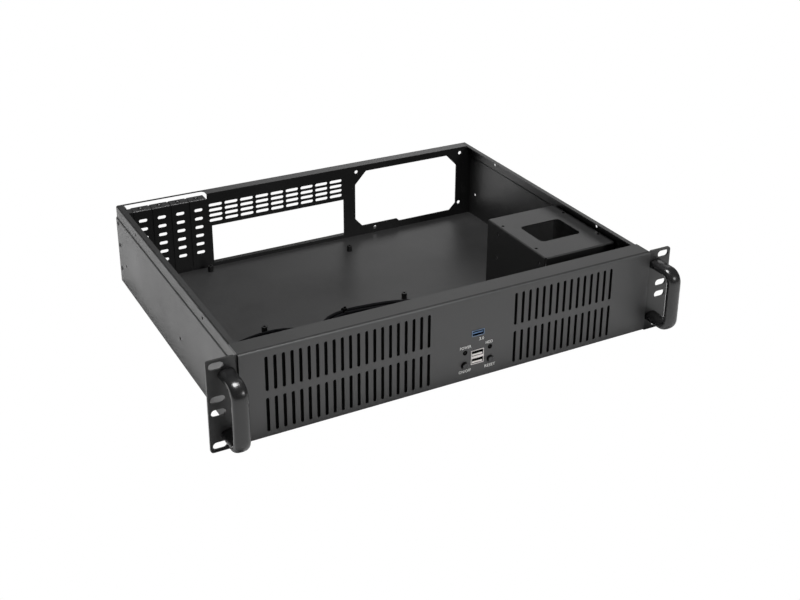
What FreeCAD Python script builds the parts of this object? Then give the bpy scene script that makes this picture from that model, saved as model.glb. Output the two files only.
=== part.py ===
import FreeCAD, Part
import math
import os

# Empty 2U rackmount server case with its top cover off: folded steel tray, rear
# panel with board, supply and card openings, slotted front bezel, rack ears with
# bow handles, front ports and buttons, drive cage and loose front-panel leads.
#
# Millimetres. +X is the right-hand side seen from the front, +Y runs to the rear
# and +Z up. The origin is the centre of the flat underside of the tray.

V = FreeCAD.Vector
OUT = "parts"

# Sheet metal
SHEET = 1.0                      # tray, rear panel, bezel and cage
PLATE = 2.0                      # front plate with the rack ears
BEND = 0.8                       # inner bend radius
GAP = 0.3                        # clearance between separate parts

# Nineteen-inch rack front, two units high
PANEL_W = 482.6
PANEL_H = 88.1
EAR_CORNER_R = 3.0
RACK_HOLE_PITCH_X = PANEL_W - 17.5
RACK_HOLE_Z = tuple(PANEL_H / 2 + offset for offset in (-38.1, -6.35, 6.35, 38.1))
RACK_SLOT_LENGTH = 13.0
RACK_SLOT_H = 7.0

# Case body
BODY_W = PANEL_W - 52.6
BODY_D = 350.0                   # from the ears' front face to the rear edge
BODY_H = PANEL_H - 0.1
SIDE_STEP_Z = BODY_H - 13.6      # the side walls step in here for the cover's skirt
SIDE_STEP_IN = 1.0
SIDE_STEP_RISE = 1.6
RAIL_W = 6.0                     # flange along the top of each side wall
FRONT_LIP_H = 11.0               # upturned edge of the floor behind the front plate

# Folded front bezel
BEZEL_W = BODY_W - 2.0
BEZEL_PROUD = 3.0                # bezel face ahead of the ears' front face
BEZEL_BOTTOM = 2.4
BEZEL_TOP = BODY_H + 0.5
BEZEL_FLANGE = 22.0              # depth of the top flange
BEZEL_RETURN = 4.6               # depth of the bottom return
GRILLE_SLOT_W = 3.0
GRILLE_ROW_GAP = 6.7             # metal between the two rows of slots
GRILLE_MARGIN_LOW = 5.7          # metal below the lower row
GRILLE_MARGIN_HIGH = 7.3         # metal above the upper row
GRILLE_PITCH = 7.78
GRILLE_LEFT_IN = 24.1            # first slot of the left field from the bezel's end
GRILLE_LEFT_COUNT = 21
GRILLE_RIGHT_IN = 47.0           # last slot of the right field from the bezel's end
GRILLE_RIGHT_COUNT = 15
GRILLE_FRAME = 4.0               # clear margin of the windows behind the slots
FILTER_LAP = 3.0                 # filter mat past each edge of its window
STUD_IN = 10.0                   # outer studs from the bezel's ends
STUD_MID_X = -22.0               # studs beside the ports
STUD_REACH = 6.5                 # stud end behind the ears' front face
STUD_COLLAR_R = 3.0
NUT_AF = 5.5
NUT_H = 2.4

# Bow handles on the ears
HANDLE_X = (PANEL_W + BODY_W) / 4 - 4.35     # centre of each bar
HANDLE_W = 14.6
HANDLE_REACH = 34.0              # front of the bar ahead of the ear
HANDLE_BAR = 9.2                 # thickness of the bar, front to back
HANDLE_SCREW_PITCH = 58.0
HANDLE_CORNER_R = 13.0
HANDLE_FOOT_T = 1.6
HANDLE_FOOT_RIM = 1.2
HANDLE_SCREW_R = 2.4
HANDLE_SCREW_L = 12.0
HANDLE_SCREW_HEAD_R = 4.4
HANDLE_SCREW_HEAD_H = 2.6

# Front ports, lamps and buttons
PORT_X = 17.5                    # centre line of the group
USB3_Z = 50.2
USB3_W = 13.2
USB3_H = 5.8
USB2_Z = 25.1
USB2_W = 13.6
USB2_H = 14.6
LAMP_OFFSET_X = 13.4
LAMP_Z = 32.2
LAMP_R = 2.0
BUTTON_OFFSET_X = 13.8
BUTTON_Z = 19.3
BUTTON_R = 3.3
BUTTON_PROUD = 1.2
BUTTON_TRAVEL = 1.0
BUTTON_BEVEL = 0.5
PORT_BOARD_W = 56.0
PORT_BOARD_H = 52.0
PORT_BOARD_Z = 35.0              # centre height
PORT_BOARD_Y = 10.0              # front face behind the ears' front face
PCB = 1.6
PORT_WINDOW_W = 42.0
PORT_WINDOW_H = 52.0

# Board seat and rear openings, after the usual board and supply standards
STANDOFF_H = 6.5
STANDOFF_AF = 5.5
BOARD_COLUMNS = (0.0, -157.48, -203.2)
BOARD_ROWS = (10.16, 165.1, 237.49)
BOARD_PORT_ROW = 33.02           # rear row of the column beside the port shield
BOARD_EDGE = 1.5                 # board's rear edge ahead of the rear wall
IO_W = 158.75
IO_H = 44.45
IO_X = 100.3 - BODY_W / 2        # left side of the port shield's aperture
BOARD_HOLE_X = IO_X + 149.4      # column of holes beside the port shield
IO_BELOW_BOARD_TOP = 3.8
SUPPLY_LEFT_X = IO_X + 169.2     # left side of the 150 x 86 power supply
SUPPLY_W = 150.0
SUPPLY_H = BODY_H - 2 * SHEET
SUPPLY_HOLE_IN = 6.0
SUPPLY_HOLE_SPAN = 138.0
SUPPLY_HOLE_DROP = SUPPLY_H - 22.0
SUPPLY_LOW_HOLE_IN = 30.0
SUPPLY_LOW_HOLE_DROP = SUPPLY_H - 12.0
SUPPLY_STEP_IN = 59.0            # step in the aperture's foot from the supply's left side
SUPPLY_HOLE_R = 2.1
VENT_L = 15.0
VENT_H = 3.5
VENT_PITCH_X = 18.0
VENT_PITCH_Z = 6.0
VENT_SHIFT = -2.3                # field's centre beside the aperture's
VENT_COLUMNS = 9
VENT_ROWS = 4
VENT_RISE = 6.2                  # lowest row's centre above the aperture
REAR_SET = 11.5                  # rear wall ahead of the case's rear edge

# Four low-profile card slots, with a ledge for the covers' tabs
SLOT_PITCH = 20.32
SLOT_COUNT = 4
SLOT_NEAR_X = IO_X - 14.5        # slot beside the port shield
SLOT_W = 14.0
SLOT_BOTTOM = 6.0
SLOT_TOP = BODY_H - 12.0
BAY_MARGIN = 10.4                # that opening's right end from the nearest slot's centre
BAY_RAIL_IN = 1.6                # and its left end from the rail
LEDGE_Z = BODY_H - 6.0           # upper face of the ledge
STRIP_W = 1.6                    # rim left behind the opening over the ledge
LEDGE_END_GAP = 4.0              # opening left beside the ledge's end
LEDGE_CORNER_R = 4.0             # rounded corner of the opening over the ledge
COVER_T = 0.8
COVER_W = 18.4
COVER_BOTTOM = 5.0
COVER_TAB = 10.6
COVER_VENT_L = 9.0
COVER_VENT_H = 3.6
COVER_VENT_PITCH = 9.96
COVER_VENTS = 6
COVER_VENT_TOP_Z = BODY_H - 16.9

# Drive cage
CAGE_RIGHT = BODY_W / 2 - 2.6
CAGE_LEFT = CAGE_RIGHT - 85.9
CAGE_FRONT = 51.5
CAGE_DEPTH = 105.5
CAGE_TOP = BODY_H - 9.2
CAGE_FRONT_FLANGE = 13.0
CAGE_FOOT = 9.0
CAGE_CUT_X = 49.0
CAGE_CUT_Y = 41.5
CAGE_CUT_R = 5.0
CAGE_DRIVE_X = 76.6
CAGE_DRIVE_Y = 61.72
CAGE_SIDE_HOLES_Y = (60.8, 137.4)
CAGE_SIDE_HOLES_Z = (CAGE_TOP - 36.2, CAGE_TOP - 9.8)

# Fasteners
COVER_SCREW_Y = (84.0, 282.0)
COVER_SCREW_Z = BODY_H - 6.0
RAIL_SCREW_Y = (151.0, 325.0)
RAIL_SCREW_Z = 28.0
SMALL_HOLE_R = 1.7
RIVET_R = 2.4
RIVET_SHANK_R = 1.5
RIVET_HEAD = 0.7
SCREW_HEAD_R = 2.6
SCREW_HEAD_H = 1.5
REAR_RIVET_Z = (18.0, 45.0, SIDE_STEP_Z - 4.4)
FRONT_RIVET_Z = (22.0, SIDE_STEP_Z - 14.4)
SIDE_TAB = 14.0

# Loose front-panel leads, their plugs and their tie
LEADS_D = 3.4
USB3_LEAD_D = 4.4
USB2_LEAD_D = 3.8
TIE_WIDTH = 3.0
TIE_T = 0.6
TIE_TAIL = 5.0
CORD_LIFT = 0.15
LEADS_PLUG = (12.7, 5.2, 14.0)   # width, height and length of each plug
USB3_PLUG = (24.0, 7.6, 17.0)
USB2_PLUG = (13.0, 5.6, 15.0)

FRONT = -BODY_D / 2              # Y of the ears' front face
REAR = BODY_D / 2
REAR_WALL = REAR - REAR_SET      # outer face of the rear wall
HALF_W = BODY_W / 2
BEZEL_FACE = FRONT - BEZEL_PROUD
PORT_FACE = FRONT + PORT_BOARD_Y
GRILLE_SLOT_H = (BEZEL_TOP - BEZEL_BOTTOM - GRILLE_MARGIN_LOW - GRILLE_MARGIN_HIGH
                 - GRILLE_ROW_GAP) / 2
GRILLE_LOW_Z = BEZEL_BOTTOM + GRILLE_MARGIN_LOW + GRILLE_SLOT_H / 2
GRILLE_ROWS_Z = (GRILLE_LOW_Z, GRILLE_LOW_Z + GRILLE_SLOT_H + GRILLE_ROW_GAP)
IO_BOTTOM = SHEET + STANDOFF_H + PCB - IO_BELOW_BOARD_TOP
SUPPLY_TOP_HOLE_Z = SHEET + SUPPLY_H - SUPPLY_HOLE_IN


def save(shape, name):
    """Write one named sub-part."""
    shape.exportStep(os.path.join(OUT, name + ".step"))


def box(x0, x1, y0, y1, z0, z1):
    """Block between two corners."""
    return Part.makeBox(x1 - x0, y1 - y0, z1 - z0, V(x0, y0, z0))


def rod(radius, start, end):
    """Cylinder from one point to another."""
    axis = end.sub(start)
    return Part.makeCylinder(radius, axis.Length, start, axis)


def corner_arc(before, point, after, radius):
    """Start, middle, end and centre of the arc that rounds a corner."""
    inward = point.sub(before).normalize()
    outward = after.sub(point).normalize()
    half = inward.getAngle(outward) / 2
    reach = radius * math.tan(half)
    toward = outward.sub(inward).normalize()
    centre = point.add(toward * (radius / math.cos(half)))
    start = point.sub(inward * reach)
    end = point.add(outward * reach)
    return start, centre.sub(toward * radius), end


def rounded_edges(points, radii, closed=False):
    """Straight runs joined by tangent arcs; a radius of 0 leaves a sharp corner."""
    count = len(points)
    stops = []
    for index, point in enumerate(points):
        is_end = not closed and index in (0, count - 1)
        if is_end or radii[index] <= 0:
            stops.append((point, None, point))
        else:
            before = points[index - 1]
            after = points[(index + 1) % count]
            stops.append(corner_arc(before, point, after, radii[index]))
    edges = []
    last = stops[-1][2] if closed else None
    for start, middle, end in stops:
        if last is not None and last.distanceToPoint(start) > 1e-6:
            edges.append(Part.LineSegment(last, start).toShape())
        if middle is not None:
            edges.append(Part.Arc(start, middle, end).toShape())
        last = end
    return edges


def rounded_face(points, radii):
    """Flat face inside a closed outline with rounded corners."""
    return Part.Face(Part.Wire(rounded_edges(points, radii, closed=True)))


def folded_sheet(points, normal, thickness, extent, bend=BEND):
    """Sheet folded along its outer face's points and extruded by extent.

    The metal lies to the left of the path, seen against normal.
    """
    count = len(points)
    sides = []
    for index in range(count - 1):
        along = points[index + 1].sub(points[index]).normalize()
        sides.append(normal.cross(along))
    inner = []
    outer_radii = []
    inner_radii = []
    for index, point in enumerate(points):
        first = sides[max(index - 1, 0)]
        second = sides[min(index, count - 2)]
        share = thickness / (1 + first.dot(second))
        inner.append(point.add(first.add(second) * share))
        turn = first.cross(second).dot(normal)
        outer_radii.append(bend + abs(thickness) if turn * thickness > 0 else bend)
        inner_radii.append(bend if turn * thickness > 0 else bend + abs(thickness))
    near = rounded_edges(points, outer_radii)
    far = rounded_edges(inner, inner_radii)
    caps = [Part.LineSegment(points[0], inner[0]).toShape(),
            Part.LineSegment(points[-1], inner[-1]).toShape()]
    outline = Part.Wire(Part.__sortEdges__(near + far + caps))
    return Part.Face(outline).extrude(extent)


def obround_y(x, z, length, height, y0, y1, upright=False):
    """Slot cutter through a wall that faces along Y."""
    radius = height / 2
    half = length / 2 - radius
    along = V(0, 0, half) if upright else V(half, 0, 0)
    centre = V(x, y0, z)
    depth = V(0, y1 - y0, 0)
    side = V(radius, 0, 0) if upright else V(0, 0, radius)
    low = centre.sub(along)
    high = centre.add(along)
    tip = along * ((half + radius) / half)
    edges = [Part.LineSegment(low.add(side), high.add(side)).toShape(),
             Part.Arc(high.add(side), centre.add(tip), high.sub(side)).toShape(),
             Part.LineSegment(high.sub(side), low.sub(side)).toShape(),
             Part.Arc(low.sub(side), centre.sub(tip), low.add(side)).toShape()]
    return Part.Face(Part.Wire(edges)).extrude(depth)


def drill_x(y, z, radius, x0, x1):
    """Round hole cutter along X."""
    return rod(radius, V(x0, y, z), V(x1, y, z))


def drill_y(x, z, radius, y0, y1):
    """Round hole cutter along Y."""
    return rod(radius, V(x, y0, z), V(x, y1, z))


def drill_z(x, y, radius, z0, z1):
    """Round hole cutter along Z."""
    return rod(radius, V(x, y, z0), V(x, y, z1))


def button_head(radius, height, base, axis):
    """Low screw or rivet head with a bevelled rim, standing on base along axis."""
    bevel = height * 0.6
    head = Part.makeCylinder(radius, height - bevel, base, axis)
    crown = Part.makeCone(radius, radius - bevel, bevel, base.add(axis * (height - bevel)), axis)
    return head.fuse(crown)


def chassis_tray():
    """Floor, stepped side walls and top rails folded from one sheet."""
    step_x = HALF_W - SIDE_STEP_IN
    front = FRONT + PLATE
    half = [V(step_x - RAIL_W, front, BODY_H),
            V(step_x, front, BODY_H),
            V(step_x, front, SIDE_STEP_Z + SIDE_STEP_RISE),
            V(HALF_W, front, SIDE_STEP_Z),
            V(HALF_W, front, 0)]
    mirrored = [V(-point.x, point.y, point.z) for point in reversed(half)]
    tray = folded_sheet(half + mirrored, V(0, -1, 0), -SHEET, V(0, BODY_D - PLATE, 0))
    inside = HALF_W - SHEET - GAP
    lip = box(-inside, inside, front, front + SHEET, SHEET / 2, FRONT_LIP_H)
    tray = tray.fuse(lip).removeSplitter()
    notch_end = BEZEL_FACE + BEZEL_FLANGE + GAP
    cutters = [box(-HALF_W, HALF_W, FRONT, notch_end, BEZEL_TOP - SHEET - GAP, BODY_H + 1)]
    for side in (-1, 1):
        x0, x1 = side * (HALF_W - 2 * SHEET - 2), side * (HALF_W + 2)
        for y in COVER_SCREW_Y:
            cutters.append(drill_x(FRONT + y, COVER_SCREW_Z, SMALL_HOLE_R, x0, x1))
        for y in RAIL_SCREW_Y:
            cutters.append(drill_x(FRONT + y, RAIL_SCREW_Z, SMALL_HOLE_R, x0, x1))
        for y, z in rivet_places():
            cutters.append(drill_x(y, z, RIVET_SHANK_R, x0, x1))
    for x, y in standoff_places():
        cutters.append(drill_z(x, y, RIVET_SHANK_R, -1, SHEET + 1))
    for x, y in cage_screw_places():
        cutters.append(drill_z(x, y, RIVET_SHANK_R, -1, SHEET + 1))
    return tray.cut(Part.makeCompound(cutters))


def rivet_places():
    """Y and Z of the rivets through each side wall."""
    rear = [(REAR - REAR_SET / 2, z) for z in REAR_RIVET_Z]
    front = [(FRONT + PLATE + SIDE_TAB / 2, z) for z in FRONT_RIVET_Z]
    return rear + front


def standoff_places():
    """X and Y of the nine board standoffs."""
    places = []
    edge = REAR_WALL - BOARD_EDGE
    for column in BOARD_COLUMNS:
        for row in BOARD_ROWS:
            beside_port = column == 0 and row == BOARD_ROWS[0]
            depth = BOARD_PORT_ROW if beside_port else row
            places.append((BOARD_HOLE_X + column, edge - depth))
    return places


def slot_x(index):
    """Centre of one card slot, counted from the port shield."""
    return SLOT_NEAR_X - index * SLOT_PITCH


def ledge_ends():
    """Left and right ends of the opening over the card slots' ledge."""
    return -(HALF_W - SIDE_STEP_IN - RAIL_W) + BAY_RAIL_IN, slot_x(0) + BAY_MARGIN


def supply_holes():
    """X and Z of the four power supply screw holes."""
    left = SUPPLY_LEFT_X + SUPPLY_HOLE_IN
    top = SUPPLY_TOP_HOLE_Z
    low = (SUPPLY_LEFT_X + SUPPLY_LOW_HOLE_IN, top - SUPPLY_LOW_HOLE_DROP)
    return [(left, top), (left + SUPPLY_HOLE_SPAN, top),
            (left + SUPPLY_HOLE_SPAN, top - SUPPLY_HOLE_DROP), low]


def supply_aperture():
    """Cutter of the supply's opening, with chamfered corners and a stepped foot."""
    left = SUPPLY_LEFT_X + 4.5
    right = SUPPLY_LEFT_X + SUPPLY_W - 10.8
    top = SUPPLY_TOP_HOLE_Z - 0.6
    low = SHEET + 8.0
    raised = low + 3.4
    step_x = SUPPLY_LEFT_X + SUPPLY_STEP_IN
    outline = [(left, raised + 10), (left + 9, raised), (step_x, raised),
               (step_x + 3.4, low), (right - 8, low), (right, low + 8),
               (right, top - 14), (right - 13.5, top), (left + 14, top), (left, top - 15)]
    points = [V(x, REAR_WALL - 2 * SHEET, z) for x, z in outline]
    return rounded_face(points, [2.0] * len(points)).extrude(V(0, 3 * SHEET, 0))


def rim_corner():
    """X of the side flanges' outer face and of the flat floor's end."""
    wide_x = HALF_W - SHEET
    return wide_x, wide_x - BEND


def ledge_window():
    """Opening over the ledge, through the rear panel's top edge and its top flange."""
    left, right = ledge_ends()
    front_edge = REAR_WALL - 2 * SHEET
    rear_edge = REAR - STRIP_W
    corners = [V(left, front_edge, LEDGE_Z), V(right, front_edge, LEDGE_Z),
               V(right, rear_edge, LEDGE_Z), V(left, rear_edge, LEDGE_Z)]
    window = rounded_face(corners, [0, 0, LEDGE_CORNER_R, 0])
    return window.extrude(V(0, 0, BODY_H + 1 - LEDGE_Z))


def rear_wall():
    """Flat rear wall as one sheet, without its openings."""
    step_x = HALF_W - SIDE_STEP_IN - SHEET
    wide_x, floor_x = rim_corner()
    rail_x = HALF_W - SIDE_STEP_IN - RAIL_W
    rail_under = BODY_H - SHEET - BEND
    rim = [(-floor_x, SHEET), (floor_x, SHEET), (wide_x, SHEET + BEND),
           (wide_x, SIDE_STEP_Z - SHEET),
           (step_x, SIDE_STEP_Z + SIDE_STEP_RISE - SHEET), (step_x, rail_under),
           (rail_x, rail_under), (rail_x, BODY_H)]
    rim += [(-x, z) for x, z in reversed(rim[2:])]
    points = [V(x, REAR_WALL - SHEET, z) for x, z in rim]
    return Part.Face(Part.makePolygon(points + points[:1])).extrude(V(0, SHEET, 0))


def rear_panel():
    """Flat rear wall as far as the port shield, with its slots, vents and aperture."""
    y0, y1 = REAR_WALL - 2 * SHEET, REAR_WALL + SHEET
    cutters = [ledge_window(), box(IO_X, IO_X + IO_W, y0, y1, IO_BOTTOM, IO_BOTTOM + IO_H),
               box(IO_X + IO_W, HALF_W, y0, y1, 0, BODY_H + 1)]
    for index in range(SLOT_COUNT):
        x = slot_x(index)
        cutters.append(box(x - SLOT_W / 2, x + SLOT_W / 2, y0, y1, SLOT_BOTTOM, SLOT_TOP))
    vent_left = IO_X + IO_W / 2 + VENT_SHIFT - (VENT_COLUMNS - 1) / 2 * VENT_PITCH_X
    for column in range(VENT_COLUMNS):
        for row in range(VENT_ROWS):
            z = IO_BOTTOM + IO_H + VENT_RISE + row * VENT_PITCH_Z
            cutters.append(obround_y(vent_left + column * VENT_PITCH_X, z, VENT_L, VENT_H, y0, y1))
    return rear_wall().cut(Part.makeCompound(cutters))


def supply_frame():
    """Right end of the rear wall, around the power supply's aperture."""
    y0, y1 = REAR_WALL - 2 * SHEET, REAR_WALL + SHEET
    cutters = [supply_aperture(), box(-HALF_W, IO_X + IO_W, y0, y1, 0, BODY_H + 1)]
    for x, z in supply_holes():
        cutters.append(drill_y(x, z, SUPPLY_HOLE_R, y0, y1))
    return rear_wall().cut(Part.makeCompound(cutters))


def rear_top_flange():
    """Outward flange along the rear panel's top edge, open over the card ledge."""
    rail_x = HALF_W - SIDE_STEP_IN - RAIL_W
    flange = box(-rail_x, rail_x, REAR_WALL, REAR, BODY_H - SHEET, BODY_H)
    return flange.cut(ledge_window())


def rear_floor_flange():
    """Outward flange along the rear panel's bottom edge, on the tray's floor."""
    floor_x = rim_corner()[1]
    return box(-floor_x, floor_x, REAR_WALL, REAR, SHEET, 2 * SHEET)


def rear_side_flange(side):
    """Outward flange on one end of the rear panel, riveted to the side wall."""
    wide_x = rim_corner()[0]
    xs = sorted((side * wide_x, side * (wide_x - SHEET)))
    flange = box(xs[0], xs[1], REAR_WALL, REAR, SHEET + BEND, SIDE_STEP_Z - 2 * SHEET)
    cutters = [drill_x(y, z, RIVET_SHANK_R, -HALF_W, HALF_W)
               for y, z in rivet_places()[:len(REAR_RIVET_Z)]]
    return flange.cut(Part.makeCompound(cutters))


def card_ledge():
    """Shelf that the slot covers' tabs are screwed to."""
    left, right = ledge_ends()
    shelf = box(left, right - LEDGE_END_GAP, REAR_WALL, REAR_WALL + COVER_TAB,
                LEDGE_Z - SHEET, LEDGE_Z)
    cutters = [drill_z(slot_x(index), tab_screw_y(), RIVET_SHANK_R, LEDGE_Z - 2, LEDGE_Z + 1)
               for index in range(SLOT_COUNT)]
    return shelf.cut(Part.makeCompound(cutters))


def tab_screw_y():
    """Y of the screws through the covers' tabs."""
    return REAR_WALL + COVER_TAB / 2


def slot_cover(index):
    """Vented blank of one card slot, with its screw tab on the ledge."""
    x = slot_x(index)
    back = REAR_WALL - SHEET
    half = COVER_W / 2
    face = back - COVER_T
    tab_end = REAR_WALL + COVER_TAB - GAP
    path = [V(x - half, face, COVER_BOTTOM), V(x - half, face, LEDGE_Z + COVER_T),
            V(x - half, tab_end, LEDGE_Z + COVER_T)]
    cover = folded_sheet(path, V(-1, 0, 0), COVER_T, V(COVER_W, 0, 0), COVER_T / 4)
    cutters = []
    for row in range(COVER_VENTS):
        z = COVER_VENT_TOP_Z - row * COVER_VENT_PITCH
        cutters.append(obround_y(x, z, COVER_VENT_L, COVER_VENT_H, face - 1, back + 1))
    cutters.append(drill_z(x, tab_screw_y(), SMALL_HOLE_R, LEDGE_Z - 1, LEDGE_Z + 2))
    return cover.cut(Part.makeCompound(cutters))


def ledge_screws():
    """Round-head screws that hold the slot covers' tabs."""
    screws = []
    for index in range(SLOT_COUNT):
        x = slot_x(index)
        seat = V(x, tab_screw_y(), LEDGE_Z + COVER_T)
        head = button_head(SCREW_HEAD_R, SCREW_HEAD_H, seat, V(0, 0, 1))
        screws.append(head.fuse(rod(RIVET_SHANK_R - 0.1, V(x, seat.y, LEDGE_Z - 3), seat)))
    return Part.makeCompound(screws)


def fan_windows():
    """Sides, foot and top of the front plate's window behind each slotted field."""
    windows = []
    for first, count in grille_fields():
        x0 = first - GRILLE_SLOT_W / 2 - GRILLE_FRAME
        x1 = first + (count - 1) * GRILLE_PITCH + GRILLE_SLOT_W / 2 + GRILLE_FRAME
        windows.append((x0, x1, FRONT_LIP_H + GAP, GRILLE_ROWS_Z[-1] + GRILLE_SLOT_H / 2 + 1))
    return windows


def filter_mat(window):
    """Thin dust filter between the bezel and the front plate."""
    x0, x1, z0, z1 = window
    return box(x0 - FILTER_LAP, x1 + FILTER_LAP, BEZEL_FACE + SHEET + GAP, FRONT,
               z0 - FILTER_LAP, z1 + FILTER_LAP)


def front_plate():
    """Full-width plate with the rack ears, windows and side tabs."""
    half = PANEL_W / 2
    ear_x = BEZEL_W / 2 + 3.0
    low = BEZEL_BOTTOM + SHEET + GAP
    high = BEZEL_TOP - SHEET - GAP
    outline = [(-half, 0), (-ear_x, 0), (-ear_x, low), (ear_x, low), (ear_x, 0), (half, 0),
               (half, PANEL_H), (ear_x, PANEL_H), (ear_x, high), (-ear_x, high),
               (-ear_x, PANEL_H), (-half, PANEL_H)]
    radii = [EAR_CORNER_R if abs(x) == half else 0 for x, z in outline]
    points = [V(x, FRONT, z) for x, z in outline]
    plate = rounded_face(points, radii).extrude(V(0, PLATE, 0))
    inside = HALF_W - SHEET
    for side in (-1, 1):
        xs = sorted((side * inside, side * (inside - PLATE)))
        plate = plate.fuse(box(xs[0], xs[1], FRONT, FRONT + PLATE + SIDE_TAB,
                               FRONT_LIP_H + GAP, SIDE_STEP_Z - 2 * SHEET))
    plate = plate.removeSplitter()
    y0, y1 = FRONT - 1, FRONT + PLATE + 1
    cutters = []
    for x0, x1, z0, z1 in fan_windows():
        cutters.append(box(x0, x1, y0, y1, z0, z1))
    cutters.append(box(PORT_X - PORT_WINDOW_W / 2, PORT_X + PORT_WINDOW_W / 2, y0, y1,
                       PORT_BOARD_Z - PORT_WINDOW_H / 2, PORT_BOARD_Z + PORT_WINDOW_H / 2))
    for side in (-1, 1):
        for z in RACK_HOLE_Z:
            cutters.append(obround_y(side * RACK_HOLE_PITCH_X / 2, z, RACK_SLOT_LENGTH,
                                     RACK_SLOT_H, y0, y1))
        for z in handle_screw_heights():
            cutters.append(drill_y(side * HANDLE_X, z, HANDLE_SCREW_R, y0, y1))
    for x, z in stud_places():
        cutters.append(drill_y(x, z, RIVET_SHANK_R, y0, y1))
    for x, z in port_screw_places():
        cutters.append(drill_y(x, z, RIVET_SHANK_R, y0, y1))
    for y, z in rivet_places()[len(REAR_RIVET_Z):]:
        cutters.append(drill_x(y, z, RIVET_SHANK_R, -HALF_W, HALF_W))
    return plate.cut(Part.makeCompound(cutters))


def grille_fields():
    """First slot and count of the two slotted fields."""
    half = BEZEL_W / 2
    right = half - GRILLE_RIGHT_IN - (GRILLE_RIGHT_COUNT - 1) * GRILLE_PITCH
    return [(GRILLE_LEFT_IN - half, GRILLE_LEFT_COUNT), (right, GRILLE_RIGHT_COUNT)]


def stud_places():
    """X and Z of the studs that hold the bezel on the plate."""
    columns = (STUD_IN - BEZEL_W / 2, STUD_MID_X, BEZEL_W / 2 - STUD_IN)
    heights = (BEZEL_BOTTOM + STUD_IN + 2.6, BEZEL_TOP - STUD_IN - 2.5)
    return [(x, z) for x in columns for z in heights]


def port_screw_places():
    """X and Z of the port board's four screws."""
    reach_x = PORT_BOARD_W / 2 - 3.5
    reach_z = PORT_BOARD_H / 2 - 5.5
    return [(PORT_X + sx * reach_x, PORT_BOARD_Z + sz * reach_z)
            for sx in (-1, 1) for sz in (-1, 1)]


def front_bezel():
    """Folded front cover with both slotted fields and the port cut-outs."""
    half = BEZEL_W / 2
    path = [V(-half, BEZEL_FACE + BEZEL_FLANGE, BEZEL_TOP), V(-half, BEZEL_FACE, BEZEL_TOP),
            V(-half, BEZEL_FACE, BEZEL_BOTTOM), V(-half, BEZEL_FACE + BEZEL_RETURN, BEZEL_BOTTOM)]
    bezel = folded_sheet(path, V(1, 0, 0), SHEET, V(BEZEL_W, 0, 0))
    y0, y1 = BEZEL_FACE - 1, BEZEL_FACE + SHEET + 1
    cutters = []
    for first, count in grille_fields():
        for index in range(count):
            for z in GRILLE_ROWS_Z:
                cutters.append(obround_y(first + index * GRILLE_PITCH, z, GRILLE_SLOT_H,
                                         GRILLE_SLOT_W, y0, y1, upright=True))
    for width, height, z in ((USB3_W, USB3_H, USB3_Z), (USB2_W, USB2_H, USB2_Z)):
        cutters.append(box(PORT_X - width / 2 - GAP, PORT_X + width / 2 + GAP, y0, y1,
                           z - height / 2 - GAP, z + height / 2 + GAP))
    for side in (-1, 1):
        cutters.append(drill_y(PORT_X + side * LAMP_OFFSET_X, LAMP_Z, LAMP_R + 0.1, y0, y1))
        cutters.append(drill_y(PORT_X + side * BUTTON_OFFSET_X, BUTTON_Z, BUTTON_R + GAP, y0, y1))
    return bezel.cut(Part.makeCompound(cutters))


def bezel_studs():
    """Collared studs clinched in the bezel's back."""
    back = BEZEL_FACE + SHEET
    studs = []
    for x, z in stud_places():
        collar = rod(STUD_COLLAR_R, V(x, back, z), V(x, FRONT, z))
        end = V(x, FRONT + STUD_REACH, z)
        studs.append(collar.fuse(rod(RIVET_SHANK_R - 0.1, V(x, FRONT, z), end)))
    return Part.makeCompound(studs)


def hex_nut(x, z, y, across, height, bore):
    """Hexagon nut with its axis along Y."""
    radius = across / math.sqrt(3)
    corners = [V(x + radius * math.cos(math.radians(60 * k)), y,
                 z + radius * math.sin(math.radians(60 * k))) for k in range(6)]
    body = Part.Face(Part.makePolygon(corners + corners[:1])).extrude(V(0, height, 0))
    return body.cut(drill_y(x, z, bore, y - 1, y + height + 1))


def bezel_nuts():
    """Nuts on the bezel's studs, behind the plate."""
    return Part.makeCompound([hex_nut(x, z, FRONT + PLATE, NUT_AF, NUT_H, RIVET_SHANK_R)
                              for x, z in stud_places()])


def handle_screw_heights():
    """Heights of the two screws of a handle."""
    return ((PANEL_H - HANDLE_SCREW_PITCH) / 2, (PANEL_H + HANDLE_SCREW_PITCH) / 2)


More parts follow.
